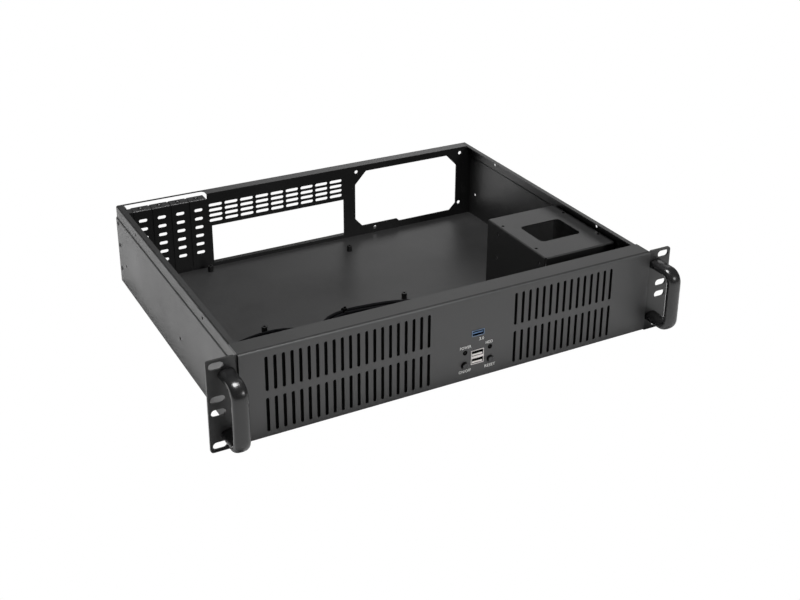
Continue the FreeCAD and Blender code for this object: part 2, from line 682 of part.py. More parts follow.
def handle(side):
    """Bow handle: a rounded bar bent to a bow, on two feet."""
    low, high = handle_screw_heights()
    half_bar = HANDLE_BAR / 2
    front = FRONT - HANDLE_REACH
    x0 = side * HANDLE_X - HANDLE_W / 2
    outer = [V(x0, FRONT, low - half_bar), V(x0, front, low - half_bar),
             V(x0, front, high + half_bar), V(x0, FRONT, high + half_bar)]
    inner = [V(x0, FRONT, high - half_bar), V(x0, front + HANDLE_BAR, high - half_bar),
             V(x0, front + HANDLE_BAR, low + half_bar), V(x0, FRONT, low + half_bar)]
    inner_r = HANDLE_CORNER_R - HANDLE_BAR / 2
    radii = [0, HANDLE_CORNER_R, HANDLE_CORNER_R, 0, 0, inner_r, inner_r, 0]
    bow = rounded_face(outer + inner, radii).extrude(V(HANDLE_W, 0, 0))
    rims = [edge for edge in bow.Edges
            if abs(edge.CenterOfMass.x - x0) < 1e-6 or abs(edge.CenterOfMass.x - x0 - HANDLE_W) < 1e-6]
    rims = [edge for edge in rims if abs(edge.CenterOfMass.y - FRONT) > 1e-6]
    bow = bow.makeFillet(HANDLE_BAR * 0.42, rims)
    for z in (low, high):
        foot = box(x0 - HANDLE_FOOT_RIM, x0 + HANDLE_W + HANDLE_FOOT_RIM, FRONT - HANDLE_FOOT_T,
                   FRONT, z - half_bar - HANDLE_FOOT_RIM, z + half_bar + HANDLE_FOOT_RIM)
        uprights = [edge for edge in foot.Edges
                    if abs(edge.tangentAt(edge.FirstParameter).y) > 0.9]
        bow = bow.fuse(foot.makeFillet(HANDLE_BAR * 0.42, uprights))
        bow = bow.cut(drill_y(side * HANDLE_X, z, HANDLE_SCREW_R - 0.3,
                              FRONT - HANDLE_SCREW_L - 2, FRONT + 1))
    return bow


def handle_screws():
    """Screws from behind the ears into both handles."""
    screws = []
    for side in (-1, 1):
        for z in handle_screw_heights():
            seat = V(side * HANDLE_X, FRONT + PLATE, z)
            head = button_head(HANDLE_SCREW_HEAD_R, HANDLE_SCREW_HEAD_H, seat, V(0, 1, 0))
            tip = V(side * HANDLE_X, FRONT - HANDLE_SCREW_L, z)
            screws.append(head.fuse(rod(HANDLE_SCREW_R - 0.35, tip, seat)))
    return Part.makeCompound(screws)


def drive_cage():
    """Folded bracket for drives: top plate, two legs with feet, front flange."""
    y0 = FRONT + CAGE_FRONT
    path = [V(CAGE_LEFT - CAGE_FOOT, y0, 2 * SHEET), V(CAGE_LEFT, y0, 2 * SHEET),
            V(CAGE_LEFT, y0, CAGE_TOP), V(CAGE_RIGHT, y0, CAGE_TOP),
            V(CAGE_RIGHT, y0, SHEET), V(CAGE_RIGHT - CAGE_FOOT, y0, SHEET)]
    cage = folded_sheet(path, V(0, -1, 0), -SHEET, V(0, CAGE_DEPTH, 0))
    corner = SHEET + BEND
    lip_x = CAGE_LEFT + corner
    lip_path = [V(lip_x, y0 + corner, CAGE_TOP), V(lip_x, y0 - corner, CAGE_TOP),
                V(lip_x, y0 - corner, CAGE_TOP - CAGE_FRONT_FLANGE)]
    lip = folded_sheet(lip_path, V(1, 0, 0), SHEET, V(CAGE_RIGHT - CAGE_LEFT - 2 * corner, 0, 0))
    cage = cage.fuse(lip).removeSplitter()
    middle = V((CAGE_LEFT + CAGE_RIGHT) / 2, y0 + CAGE_DEPTH / 2, 0)
    half_x, half_y = CAGE_CUT_X / 2, CAGE_CUT_Y / 2
    window = [V(middle.x + sx * half_x, middle.y + sy * half_y, CAGE_TOP - 3)
              for sx, sy in ((-1, -1), (1, -1), (1, 1), (-1, 1))]
    cutters = [rounded_face(window, [CAGE_CUT_R] * 4).extrude(V(0, 0, 5))]
    for sx in (-1, 1):
        for sy in (-1, 1):
            cutters.append(drill_z(middle.x + sx * CAGE_DRIVE_X / 2, middle.y + sy * CAGE_DRIVE_Y / 2,
                                   SMALL_HOLE_R, CAGE_TOP - 3, CAGE_TOP + 1))
    for y in CAGE_SIDE_HOLES_Y:
        for z in CAGE_SIDE_HOLES_Z:
            cutters.append(drill_x(FRONT + y, z, SMALL_HOLE_R, CAGE_LEFT - 2, CAGE_RIGHT + 2))
    for x, y in cage_screw_places():
        cutters.append(drill_z(x, y, RIVET_SHANK_R + 0.2, SHEET - 1, 3 * SHEET))
    return cage.cut(Part.makeCompound(cutters))


def cage_screw_places():
    """X and Y of the screws through the cage's feet."""
    y0 = FRONT + CAGE_FRONT
    columns = (CAGE_LEFT - CAGE_FOOT / 2 - 0.5, CAGE_RIGHT - CAGE_FOOT / 2 - 1.5)
    return [(x, y) for x in columns for y in (y0 + 15, y0 + CAGE_DEPTH - 15)]


def cage_screws():
    """Round-head screws on the cage's feet."""
    screws = []
    for x, y in cage_screw_places():
        seat = V(x, y, 2 * SHEET)
        head = button_head(SCREW_HEAD_R, SCREW_HEAD_H, seat, V(0, 0, 1))
        screws.append(head.fuse(rod(RIVET_SHANK_R - 0.1, V(x, y, 0.1), seat)))
    return Part.makeCompound(screws)


def board_standoffs():
    """Hexagonal board standoffs riveted into the floor."""
    radius = STANDOFF_AF / math.sqrt(3)
    pieces = []
    for x, y in standoff_places():
        corners = [V(x + radius * math.cos(math.radians(60 * k)),
                     y + radius * math.sin(math.radians(60 * k)), SHEET) for k in range(6)]
        body = Part.Face(Part.makePolygon(corners + corners[:1])).extrude(V(0, 0, STANDOFF_H))
        body = body.fuse(rod(RIVET_SHANK_R - 0.1, V(x, y, 0.1), V(x, y, SHEET)))
        pieces.append(body.cut(drill_z(x, y, 1.25, SHEET + 1, SHEET + STANDOFF_H + 1)))
    return Part.makeCompound(pieces)


def wall_rivets():
    """Rivets that join the side walls to the rear panel and the front plate."""
    rivets = []
    for side in (-1, 1):
        face = V(side * HALF_W, 0, 0)
        for index, (y, z) in enumerate(rivet_places()):
            grip = SHEET if index < len(REAR_RIVET_Z) else PLATE
            seat = V(face.x, y, z)
            end = V(side * (HALF_W - SHEET - grip - 1), y, z)
            head = button_head(RIVET_R, RIVET_HEAD, seat, V(side, 0, 0))
            rivets.append(head.fuse(rod(RIVET_SHANK_R - 0.1, end, seat)))
    return Part.makeCompound(rivets)


def port_board():
    """Small circuit board behind the front ports."""
    half_w, half_h = PORT_BOARD_W / 2, PORT_BOARD_H / 2
    board = box(PORT_X - half_w, PORT_X + half_w, PORT_FACE, PORT_FACE + PCB,
                PORT_BOARD_Z - half_h, PORT_BOARD_Z + half_h)
    cutters = [drill_y(x, z, RIVET_SHANK_R + 0.1, PORT_FACE - 1, PORT_FACE + PCB + 1)
               for x, z in port_screw_places()]
    return board.cut(Part.makeCompound(cutters))


def port_spacers():
    """Tubes between the front plate and the port board."""
    spacers = []
    for x, z in port_screw_places():
        tube = rod(2.8, V(x, FRONT + PLATE, z), V(x, PORT_FACE, z))
        spacers.append(tube.cut(drill_y(x, z, RIVET_SHANK_R + 0.1, FRONT, PORT_FACE + 1)))
    return Part.makeCompound(spacers)


def port_screws():
    """Screws that hold the port board."""
    screws = []
    for x, z in port_screw_places():
        seat = V(x, PORT_FACE + PCB, z)
        head = button_head(SCREW_HEAD_R, SCREW_HEAD_H, seat, V(0, 1, 0))
        screws.append(head.fuse(rod(RIVET_SHANK_R - 0.1, V(x, FRONT + 0.2, z), seat)))
    return Part.makeCompound(screws)


def port_shell(width, height, z, openings):
    """Metal shell of a port, open at the front."""
    front = BEZEL_FACE - 0.2
    shell = box(PORT_X - width / 2, PORT_X + width / 2, front, PORT_FACE,
                z - height / 2, z + height / 2)
    for low, high in openings:
        shell = shell.cut(box(PORT_X - width / 2 + 0.5, PORT_X + width / 2 - 0.5, front - 1,
                              PORT_FACE - 1.5, low, high))
    return shell


def usb3_opening():
    """Lower and upper limits of the single port's mouth."""
    return [(USB3_Z - USB3_H / 2 + 0.5, USB3_Z + USB3_H / 2 - 0.5)]


def usb2_openings():
    """Lower and upper limits of the two stacked mouths."""
    low = USB2_Z - USB2_H / 2
    high = USB2_Z + USB2_H / 2
    return [(low + 0.6, USB2_Z - 1.2), (USB2_Z + 1.2, high - 0.6)]


def port_tongue(openings, reach):
    """Plastic tongues inside a port's mouths."""
    pieces = []
    for low, high in openings:
        middle = (low + high) / 2 + 0.5
        pieces.append(box(PORT_X - 5.4, PORT_X + 5.4, BEZEL_FACE + reach, PORT_FACE - 1.5,
                          middle - 0.9, middle + 0.9))
    return Part.makeCompound(pieces)


def lamp(side):
    """Blunt indicator lamp with its collar behind the bezel."""
    x = PORT_X + side * LAMP_OFFSET_X
    tip = rod(LAMP_R, V(x, BEZEL_FACE, LAMP_Z), V(x, PORT_FACE, LAMP_Z))
    dome = Part.makeCone(LAMP_R, LAMP_R / 2, LAMP_R / 2, V(x, BEZEL_FACE, LAMP_Z), V(0, -1, 0))
    collar_front = BEZEL_FACE + SHEET + GAP
    collar = rod(LAMP_R + 0.5, V(x, collar_front, LAMP_Z), V(x, collar_front + 1.2, LAMP_Z))
    return tip.multiFuse([dome, collar]).removeSplitter()


def push_button(side):
    """Round push button: cap, collar behind the bezel and stem to its switch."""
    x = PORT_X + side * BUTTON_OFFSET_X
    front = BEZEL_FACE - BUTTON_PROUD
    collar_front = BEZEL_FACE + SHEET + GAP
    cap = Part.makeCylinder(BUTTON_R, collar_front - front, V(x, front, BUTTON_Z), V(0, 1, 0))
    rim = [edge for edge in cap.Edges
           if len(edge.Vertexes) == 1 and abs(edge.CenterOfMass.y - front) < 1e-6]
    cap = cap.makeChamfer(BUTTON_BEVEL, rim)
    collar = rod(BUTTON_R + 1.0, V(x, collar_front, BUTTON_Z), V(x, collar_front + 1.0, BUTTON_Z))
    stem = rod(1.7, V(x, collar_front, BUTTON_Z), V(x, switch_face() - BUTTON_TRAVEL - GAP, BUTTON_Z))
    return cap.multiFuse([collar, stem]).removeSplitter()


def switch_face():
    """Y of the front face of the switches behind the buttons."""
    return PORT_FACE - 3.5


def switches():
    """Square switch bodies on the port board, one behind each button."""
    bodies = []
    for side in (-1, 1):
        x = PORT_X + side * BUTTON_OFFSET_X
        bodies.append(box(x - 3, x + 3, switch_face(), PORT_FACE, BUTTON_Z - 3, BUTTON_Z + 3))
    return Part.makeCompound(bodies)


# Routes of the loose leads, with Y measured from the ears' front face. Each one
# leaves a socket on the port board, drops to the floor and lies there in a loop.
LEADS_ROUTE = [(-4.0, 18.6, 24.0), (-4.0, 32.0, 24.0), (-8.5, 46.0, 13.0), (-22.0, 58.0, 3.6),
               (-48.0, 62.0, 2.85), (-92.0, 63.0, 2.85), (-140.0, 71.0, 2.85),
               (-178.0, 90.0, 2.85), (-190.0, 124.0, 2.85), (-176.0, 150.0, 2.85),
               (-150.0, 163.0, 2.85), (-121.0, 168.0, 2.85), (-97.0, 163.0, 2.85),
               (-84.0, 146.0, 2.85), (-91.0, 128.0, 2.85), (-108.0, 121.0, 2.85)]
USB3_ROUTE = [(20.0, 18.6, 50.0), (20.0, 31.0, 50.0), (22.5, 45.0, 41.5), (29.0, 57.0, 24.0),
              (38.0, 67.0, 9.0), (52.0, 80.0, 4.2), (67.0, 100.0, 4.1), (68.0, 127.0, 4.1),
              (50.0, 150.0, 4.1), (22.0, 163.5, 4.1), (-8.0, 168.5, 4.1), (-37.0, 170.5, 4.1),
              (-61.0, 163.0, 4.1), (-74.0, 141.0, 4.1), (-70.0, 117.0, 4.1), (-56.0, 100.0, 4.1)]
USB2_ROUTE = [(9.0, 18.6, 26.0), (9.0, 31.0, 26.0), (12.5, 44.0, 16.5), (21.0, 55.0, 6.0),
              (33.0, 68.0, 3.9), (46.0, 86.0, 3.9), (56.0, 106.0, 3.9), (55.5, 127.0, 3.9),
              (43.0, 145.0, 3.9), (18.0, 157.5, 3.9), (-10.0, 163.0, 3.9), (-37.0, 165.4, 3.9),
              (-56.0, 159.0, 3.9), (-65.0, 145.0, 3.9), (-60.0, 131.0, 3.9), (-46.0, 125.0, 3.9)]
PAIR_TIE = 11                    # route point of both USB leads that carries their tie


def route_points(route):
    """Route in the case's frame."""
    return [V(x, FRONT + y, z) for x, y, z in route]


def route_radii(points):
    """Largest arc that the two runs beside each point allow."""
    radii = [0.0]
    for before, point, after in zip(points, points[1:], points[2:]):
        first = point.sub(before)
        second = after.sub(point)
        half = first.getAngle(second) / 2
        radii.append(0.45 * min(first.Length, second.Length) / math.tan(half))
    return radii + [0.0]


def lead(route, diameter, name):
    """Tube along straight runs and tangent arcs."""
    points = route_points(route)
    radii = route_radii(points)
    path = Part.Wire(rounded_edges(points, radii))
    start = points[0]
    along = points[1].sub(start).normalize()
    section = Part.Wire(Part.makeCircle(diameter / 2, start, along))
    tube = path.makePipeShell([section], True, False)
    ideal = math.pi * diameter ** 2 / 4 * path.Length
    smallest = min(radii[1:-1])
    print("%s length %.0f smallest radius %.1f volume ratio %.4f"
          % (name, path.Length, smallest, tube.Volume / ideal))
    return tube


def floor_plug(route, width, height, length):
    """Plug housing lying on the floor at a lead's end."""
    points = route_points(route)
    run = points[-1].sub(points[-2])
    heading = math.degrees(math.atan2(run.y, run.x))
    drop = points[-1].z - SHEET - CORD_LIFT
    block = Part.makeBox(length, width, height, V(0, -width / 2, -drop))
    block.Placement = FreeCAD.Placement(points[-1], FreeCAD.Rotation(V(0, 0, 1), heading))
    return block


def board_sockets():
    """Sockets on the port board's rear that the leads leave from."""
    back = PORT_FACE + PCB
    pieces = []
    for route, width, height in ((LEADS_ROUTE, 10.0, 5.0), (USB3_ROUTE, 12.0, 7.0),
                                 (USB2_ROUTE, 7.6, 6.0)):
        x, y, z = route[0]
        pieces.append(box(x - width / 2, x + width / 2, back, FRONT + y,
                          z - height / 2, z + height / 2))
    return Part.makeCompound(pieces)


def tie_seat(route):
    """Middle of a lead's arc at the tie."""
    points = route_points(route)
    before, point, after = points[PAIR_TIE - 1:PAIR_TIE + 2]
    return corner_arc(before, point, after, route_radii(points)[PAIR_TIE])[1]


def lead_tie():
    """Tie round the two USB leads where they lie side by side, with its cut tail."""
    near = tie_seat(USB2_ROUTE)
    far = tie_seat(USB3_ROUTE)
    inner = USB3_LEAD_D / 2 + 0.15
    outer = inner + TIE_T
    ends = [V(far.x, near.y, far.z), V(far.x, far.y, far.z)]
    shapes = []
    for radius, width in ((outer, TIE_WIDTH), (inner, 2 * TIE_WIDTH)):
        low, high = [end.sub(V(width / 2, 0, 0)) for end in ends]
        up = V(0, 0, radius)
        tip = V(0, radius, 0)
        edges = [Part.Arc(low.add(up), low.sub(tip), low.sub(up)).toShape(),
                 Part.LineSegment(low.sub(up), high.sub(up)).toShape(),
                 Part.Arc(high.sub(up), high.add(tip), high.add(up)).toShape(),
                 Part.LineSegment(high.add(up), low.add(up)).toShape()]
        shapes.append(Part.Face(Part.Wire(edges)).extrude(V(width, 0, 0)))
    ring, hole = shapes
    tail = box(-0.6, 0.6, -0.9, 0.9, 0, TIE_TAIL)
    tail.Placement = FreeCAD.Placement(ends[1].add(V(0, 0, outer - TIE_T / 2)),
                                       FreeCAD.Rotation(V(1, 0, 0), -25))
    return ring.fuse(tail).cut(hole)


def main():
    """Build every sub-part and write it."""
    os.makedirs(OUT, exist_ok=True)
    save(chassis_tray(), "chassis_tray")
    save(rear_panel(), "rear_panel")
    save(supply_frame(), "supply_frame")
    save(rear_top_flange(), "rear_top_flange")
    save(rear_floor_flange(), "rear_floor_flange")
    save(rear_side_flange(-1), "rear_side_flange_left")
    save(rear_side_flange(1), "rear_side_flange_right")
    save(card_ledge(), "card_ledge")
    for index in range(SLOT_COUNT):
        save(slot_cover(index), "slot_cover_%d" % (index + 1))
    save(ledge_screws(), "slot_cover_screws")
    save(front_plate(), "front_plate")
    save(front_bezel(), "front_bezel")
    for name, window in zip(("filter_mat_left", "filter_mat_right"), fan_windows()):
        save(filter_mat(window), name)
    save(bezel_studs(), "bezel_studs")
    save(bezel_nuts(), "bezel_nuts")
    save(handle(-1), "handle_left")
    save(handle(1), "handle_right")
    save(handle_screws(), "handle_screws")
    save(drive_cage(), "drive_cage")
    save(cage_screws(), "cage_screws")
    save(board_standoffs(), "board_standoffs")
    save(wall_rivets(), "wall_rivets")
    save(port_board(), "port_board")
    save(port_spacers(), "port_spacers")
    save(port_screws(), "port_screws")
    save(port_shell(USB3_W, USB3_H, USB3_Z, usb3_opening()), "usb3_shell")
    save(port_tongue(usb3_opening(), 1.0), "usb3_tongue")
    save(port_shell(USB2_W, USB2_H, USB2_Z, usb2_openings()), "usb2_shell")
    save(port_tongue(usb2_openings(), 1.0), "usb2_tongues")
    save(lamp(-1), "power_lamp")
    save(lamp(1), "drive_lamp")
    save(push_button(-1), "power_button")
    save(push_button(1), "reset_button")
    save(switches(), "button_switches")
    save(board_sockets(), "board_sockets")
    save(lead(LEADS_ROUTE, LEADS_D, "panel_leads"), "panel_leads")
    save(lead(USB3_ROUTE, USB3_LEAD_D, "usb3_lead"), "usb3_lead")
    save(lead(USB2_ROUTE, USB2_LEAD_D, "usb2_lead"), "usb2_lead")
    save(floor_plug(LEADS_ROUTE, *LEADS_PLUG), "panel_leads_plug")
    save(floor_plug(USB3_ROUTE, *USB3_PLUG), "usb3_lead_plug")
    save(floor_plug(USB2_ROUTE, *USB2_PLUG), "usb2_lead_plug")
    save(lead_tie(), "lead_tie")


main()
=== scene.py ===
# %% [markdown]
# # An empty rack case in black powder coat
#
# The case is a folded steel tray with its top cover off: a slotted front, two bow
# handles, a drive cage and a few loose leads. The solids come from the CAD model and
# keep their places. This file gives them their finishes, adds the small parts that
# are easier to make as meshes, and lights the whole thing.

# %% Load the frame
import bpy
import bmesh
import math
from mathutils import Matrix, Vector


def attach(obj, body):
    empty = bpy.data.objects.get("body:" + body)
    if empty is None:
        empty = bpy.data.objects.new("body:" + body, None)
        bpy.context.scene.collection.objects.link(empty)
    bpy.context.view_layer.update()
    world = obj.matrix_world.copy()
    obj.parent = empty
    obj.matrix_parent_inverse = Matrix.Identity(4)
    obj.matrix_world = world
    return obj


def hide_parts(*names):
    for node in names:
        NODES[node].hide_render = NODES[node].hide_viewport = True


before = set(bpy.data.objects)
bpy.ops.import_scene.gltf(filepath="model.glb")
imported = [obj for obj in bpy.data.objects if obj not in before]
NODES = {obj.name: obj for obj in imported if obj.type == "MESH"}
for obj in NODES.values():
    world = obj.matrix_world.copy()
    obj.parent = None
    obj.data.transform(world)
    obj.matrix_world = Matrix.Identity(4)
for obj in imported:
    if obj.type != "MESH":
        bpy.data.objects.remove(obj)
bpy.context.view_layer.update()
MM = 0.001
CASE = "case"
print("nodes", len(NODES))

# %% [markdown]
# The camera comes first, because everything after it is judged through it. The rack
# front is 482.6 mm wide by standard, so its corners, the supply's screw holes and
# the board's port opening give the place the picture was taken from. The lens is
# described by its focal length in pixels of a picture 800 wide. The picture is a cut
# from a larger one, so a small shift puts the lens's axis above the middle.

# %% Camera
PICTURE_W = 800
PICTURE_H = 600
FOCAL_PX = 1215.7
AXIS_PX = (430.0, 200.0)
SENSOR_MM = 36.0
YAW, PITCH, ROLL = (math.radians(angle) for angle in (29.701, 22.835, 0.932))
AIM = Vector((51.6, -25.0, 118.2)) * MM
DISTANCE = 1.2266
NEAREST, FARTHEST = 0.05, 30.0


def new_object(name, data):
    """Object that is linked into the scene."""
    made = bpy.data.objects.new(name, data)
    bpy.context.scene.collection.objects.link(made)
    return made


def camera_frame(yaw, pitch, roll):
    """Right, up and forward directions of a camera that looks over the case."""
    forward = Vector((math.sin(yaw) * math.cos(pitch), math.cos(yaw) * math.cos(pitch),
                      -math.sin(pitch)))
    level = Vector((math.cos(yaw), -math.sin(yaw), 0.0))
    upright = level.cross(forward)
    right = level * math.cos(roll) + upright * math.sin(roll)
    up = upright * math.cos(roll) - level * math.sin(roll)
    return right, up, forward


right, up, forward = camera_frame(YAW, PITCH, ROLL)
camera = new_object("camera", bpy.data.cameras.new("camera"))
camera.data.sensor_width = SENSOR_MM
camera.data.lens = FOCAL_PX / PICTURE_W * SENSOR_MM
camera.data.shift_x = (PICTURE_W / 2 - AXIS_PX[0]) / PICTURE_W
camera.data.shift_y = (AXIS_PX[1] - PICTURE_H / 2) / PICTURE_W
camera.data.clip_start = NEAREST
camera.data.clip_end = FARTHEST
facing = Matrix((right, up, -forward)).transposed().to_4x4()
camera.matrix_world = Matrix.Translation(AIM - forward * DISTANCE) @ facing
bpy.context.scene.camera = camera
print("lens %.1f mm, shift %.3f %.3f" % (camera.data.lens, camera.data.shift_x,
                                         camera.data.shift_y))

# %% [markdown]
# Three loose leads leave sockets behind the front ports, drop to the floor and lie
# there in open loops. A loose lead lies as it falls, which no formula gives, so the
# points of each route are listed one by one. They are the points that the CAD tubes
# follow: across, back from the ear plate's face, and up from the floor.

# %% Routes of the leads
EAR_FACE_Y = -175.0
ROUTES = {
    "panel_leads": [
        (-4.0, 18.6, 24.0), (-4.0, 32.0, 24.0), (-8.5, 46.0, 13.0), (-22.0, 58.0, 3.6),
        (-48.0, 62.0, 2.85), (-92.0, 63.0, 2.85), (-140.0, 71.0, 2.85), (-178.0, 90.0, 2.85),
        (-190.0, 124.0, 2.85), (-176.0, 150.0, 2.85), (-150.0, 163.0, 2.85),
        (-121.0, 168.0, 2.85), (-97.0, 163.0, 2.85), (-84.0, 146.0, 2.85),
        (-91.0, 128.0, 2.85), (-108.0, 121.0, 2.85)],
    "usb3_lead": [
        (20.0, 18.6, 50.0), (20.0, 31.0, 50.0), (22.5, 45.0, 41.5), (29.0, 57.0, 24.0),
        (38.0, 67.0, 9.0), (52.0, 80.0, 4.2), (67.0, 100.0, 4.1), (68.0, 127.0, 4.1),
        (50.0, 150.0, 4.1), (22.0, 163.5, 4.1), (-8.0, 168.5, 4.1), (-37.0, 170.5, 4.1),
        (-61.0, 163.0, 4.1), (-74.0, 141.0, 4.1), (-70.0, 117.0, 4.1), (-56.0, 100.0, 4.1)],
    "usb2_lead": [
        (9.0, 18.6, 26.0), (9.0, 31.0, 26.0), (12.5, 44.0, 16.5), (21.0, 55.0, 6.0),
        (33.0, 68.0, 3.9), (46.0, 86.0, 3.9), (56.0, 106.0, 3.9), (55.5, 127.0, 3.9),
        (43.0, 145.0, 3.9), (18.0, 157.5, 3.9), (-10.0, 163.0, 3.9), (-37.0, 165.4, 3.9),
        (-56.0, 159.0, 3.9), (-65.0, 145.0, 3.9), (-60.0, 131.0, 3.9), (-46.0, 125.0, 3.9)],
}
DIAMETERS = {"panel_leads": 3.4, "usb3_lead": 4.4, "usb2_lead": 3.8}
print("leads", ", ".join(ROUTES))

# %% [markdown]
# A cable is one fixed length of something bendy. It could be a chain of cylinders,
# but a NURBS curve with a round bevel bends evenly and stays one piece. The spline's
# order is set after its points, because before them it would fall back to straight
# runs. The bevel is one metre deep and each point's radius scales it down to the
# cable's, so that the curve's bounding box is right too.

# %% Cable curve
def soft_curve(name, route, diameter):
    """Cable as a bevelled NURBS curve, in metres."""
    data = bpy.data.curves.new(name, "CURVE")
    data.dimensions = "3D"
    data.bevel_depth = 1.0
    data.bevel_resolution = 4
    data.resolution_u = 8
    data.use_fill_caps = True
    spline = data.splines.new("NURBS")
    spline.points.add(len(route) - 1)
    for point, (x, y, z) in zip(spline.points, route):
        point.co = (x * MM, (EAR_FACE_Y + y) * MM, z * MM, 1.0)
        point.radius = diameter * MM / 2
    spline.order_u = 3
    spline.use_endpoint_u = True
    return new_object(name, data)


def centre_line(cable):
    """Points that the cable's own curve runs through."""
    bare = cable.copy()
    bare.data = cable.data.copy()
    bare.data.bevel_depth = 0.0
    mesh = bpy.data.meshes.new_from_object(bare)
    points = [v.co.copy() for v in mesh.vertices]
    bpy.data.meshes.remove(mesh)
    bpy.data.objects.remove(bare)
    return points


def line_length(points):
    """Length along a row of points."""
    return sum((b - a).length for a, b in zip(points, points[1:]))


print("cable curve ready")

# %% [markdown]
# The leads of the lamps and buttons are a bundle of thin wires, twisted together. A
# twisted texture on one tube would show a smooth outline, so each wire is a curve of
# its own: its points circle the bundle's centre line once in every length of twist.

# %% Twisted wires
WIRE_COUNT = 6
WIRE_DIAMETER = 1.25
TWIST_LENGTH = 46.0
NEARLY_UPRIGHT = 0.2


def around(points, place):
    """Directions along a row of points and across it, level and square to both."""
    before, after = points[max(place - 1, 0)], points[min(place + 1, len(points) - 1)]
    along = (after - before).normalized()
    level = Vector((0.0, 0.0, 1.0)).cross(along)
    if level.length < NEARLY_UPRIGHT:
        level = Vector((1.0, 0.0, 0.0))
    level.normalize()
    return level, along.cross(level)


def strands(name, points, bundle):
    """Thin wires twisted round a centre line, as one mesh."""
    data = bpy.data.curves.new(name, "CURVE")
    data.dimensions = "3D"
    data.bevel_depth = WIRE_DIAMETER * MM / 2
    data.bevel_resolution = 2
    data.use_fill_caps = True
    reach = (bundle - WIRE_DIAMETER) * MM / 2
    for index in range(WIRE_COUNT):
        run = 0.0
        line = data.splines.new("POLY")
        line.points.add(len(points) - 1)
        for place, here in enumerate(points):
            if place:
                run += (here - points[place - 1]).length
            level, square = around(points, place)
            turn = math.tau * (index / WIRE_COUNT + run / (TWIST_LENGTH * MM))
            offset = (level * math.cos(turn) + square * math.sin(turn)) * reach
            line.points[place].co = (*(here + offset), 1.0)
    holder = bpy.data.objects.new(name, data)
    mesh = bpy.data.meshes.new_from_object(holder)
    bpy.data.objects.remove(holder)
    return new_object(name, mesh)


print("wires", WIRE_COUNT, "of", WIRE_DIAMETER, "mm")

# %% [markdown]
# Each lead stands for the CAD's plain tube and rides on the case. Its facts are kept in
# a table: where it leaves its socket, how long and thick it is, that it is limp, and
# that it lies loose with a connector at its far end. The twisted wires are a mesh,
# which has no route of its own, so their centre line is kept too.

# %% The three leads
cables, cord_facts = {}, {}
for node, route in ROUTES.items():
    diameter = DIAMETERS[node]
    cable = soft_curve(node + "_cable", route, diameter)
    line = centre_line(cable)
    cord_facts[node] = {"exit": list(line[0]), "length": line_length(line),
                        "diameter": diameter * MM, "far_end": "connector",
                        "stiffness": "limp", "lay": "loose"}
    if node == "panel_leads":
        bpy.data.objects.remove(cable)
        cable = strands(node + "_wires", line, diameter)
        cord_facts[node]["path"] = line
    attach(cable, CASE)
    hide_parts(node)
    cables[node] = cable
    print("%s %.0f mm" % (node, cord_facts[node]["length"] / MM))

# %% [markdown]
# Shader maths reads best as plain arithmetic. This small class wraps one socket and
# turns each operator into a Math node, so a mask can be written as 1 - mask, and one
# method makes any other node from its settings and inputs.

# %% Shader helper
class Wire:
    """One output socket of a node tree, with arithmetic that adds Math nodes."""

    def __init__(self, tree, socket):
        self.tree = tree
        self.socket = socket

    def node(self, kind, inputs=None, output=0, **settings):
        """Adds a node: settings first, then the values or links of its inputs."""
        made = self.tree.nodes.new(kind)
        for key, value in settings.items():
            if key == "stops":
                for stop, (place, shade) in zip(made.color_ramp.elements, value):
                    stop.position = place
                    stop.color = (shade, shade, shade, 1.0)
            else:
                setattr(made, key, value)
        for key, value in (inputs or {}).items():
            if isinstance(value, Wire):
                self.tree.links.new(value.socket, made.inputs[key])
            else:
                made.inputs[key].default_value = value
        return Wire(self.tree, made.outputs[output])

    def math(self, operation, other, swap=False):
        """One Math node on this value and another."""
        pair = (other, self) if swap else (self, other)
        return self.node("ShaderNodeMath", dict(enumerate(pair)), operation=operation)

    def __add__(self, other):
        return self.math("ADD", other)

    def __mul__(self, other):
        return self.math("MULTIPLY", other)

    def __rsub__(self, other):
        return self.math("SUBTRACT", other, swap=True)

    __radd__ = __add__

    def clamp(self):
        """This value held between 0 and 1."""
        return self.node("ShaderNodeClamp", {"Value": self})


print("shader helper ready")

# %% [markdown]
# Every finish here starts from one Principled shader and the piece's own Object
# coordinates, so that a pattern keeps its real size and moves with the piece. These
# helpers make that start, and the few kinds of node that all the finishes share.

# %% Helpers for finishes
MIX_LOW, MIX_HIGH, MIX_RESULT = 6, 7, 2


def grey(shade):
    """Neutral colour."""
    return (shade, shade, shade)


def new_material(name, colour, roughness, metallic=0.0, specular=0.5):
    """Material with one Principled shader; returns it with its start wire and shader."""
    material = bpy.data.materials.new(name)
    material.use_nodes = True
    material.diffuse_color = (*colour, 1.0)
    tree = material.node_tree
    shader = tree.nodes["Principled BSDF"]
    shader.inputs["Base Color"].default_value = (*colour, 1.0)
    shader.inputs["Roughness"].default_value = roughness
    shader.inputs["Metallic"].default_value = metallic
    shader.inputs["Specular IOR Level"].default_value = specular
    start = Wire(tree, tree.nodes.new("ShaderNodeTexCoord").outputs["Object"])
    return material, start, shader


def link(wire, shader, name):
    """Feeds a wire to one input of the shader."""
    wire.tree.links.new(wire.socket, shader.inputs[name])


def noise(start, scale, detail=3.0, roughness=0.5):
    """Noise value on the piece's own coordinates, per metre."""
    return start.node("ShaderNodeTexNoise", {"Vector": start, "Scale": scale, "Detail": detail,
                                             "Roughness": roughness})


def blend_colours(start, mask, low, high):
    """Colour that goes from low to high with the mask; low may be a wire."""
    if not isinstance(low, Wire):
        low = (*low, 1.0)
    return start.node("ShaderNodeMix", {"Factor": mask, MIX_LOW: low, MIX_HIGH: (*high, 1.0)},
                      output=MIX_RESULT, data_type="RGBA")


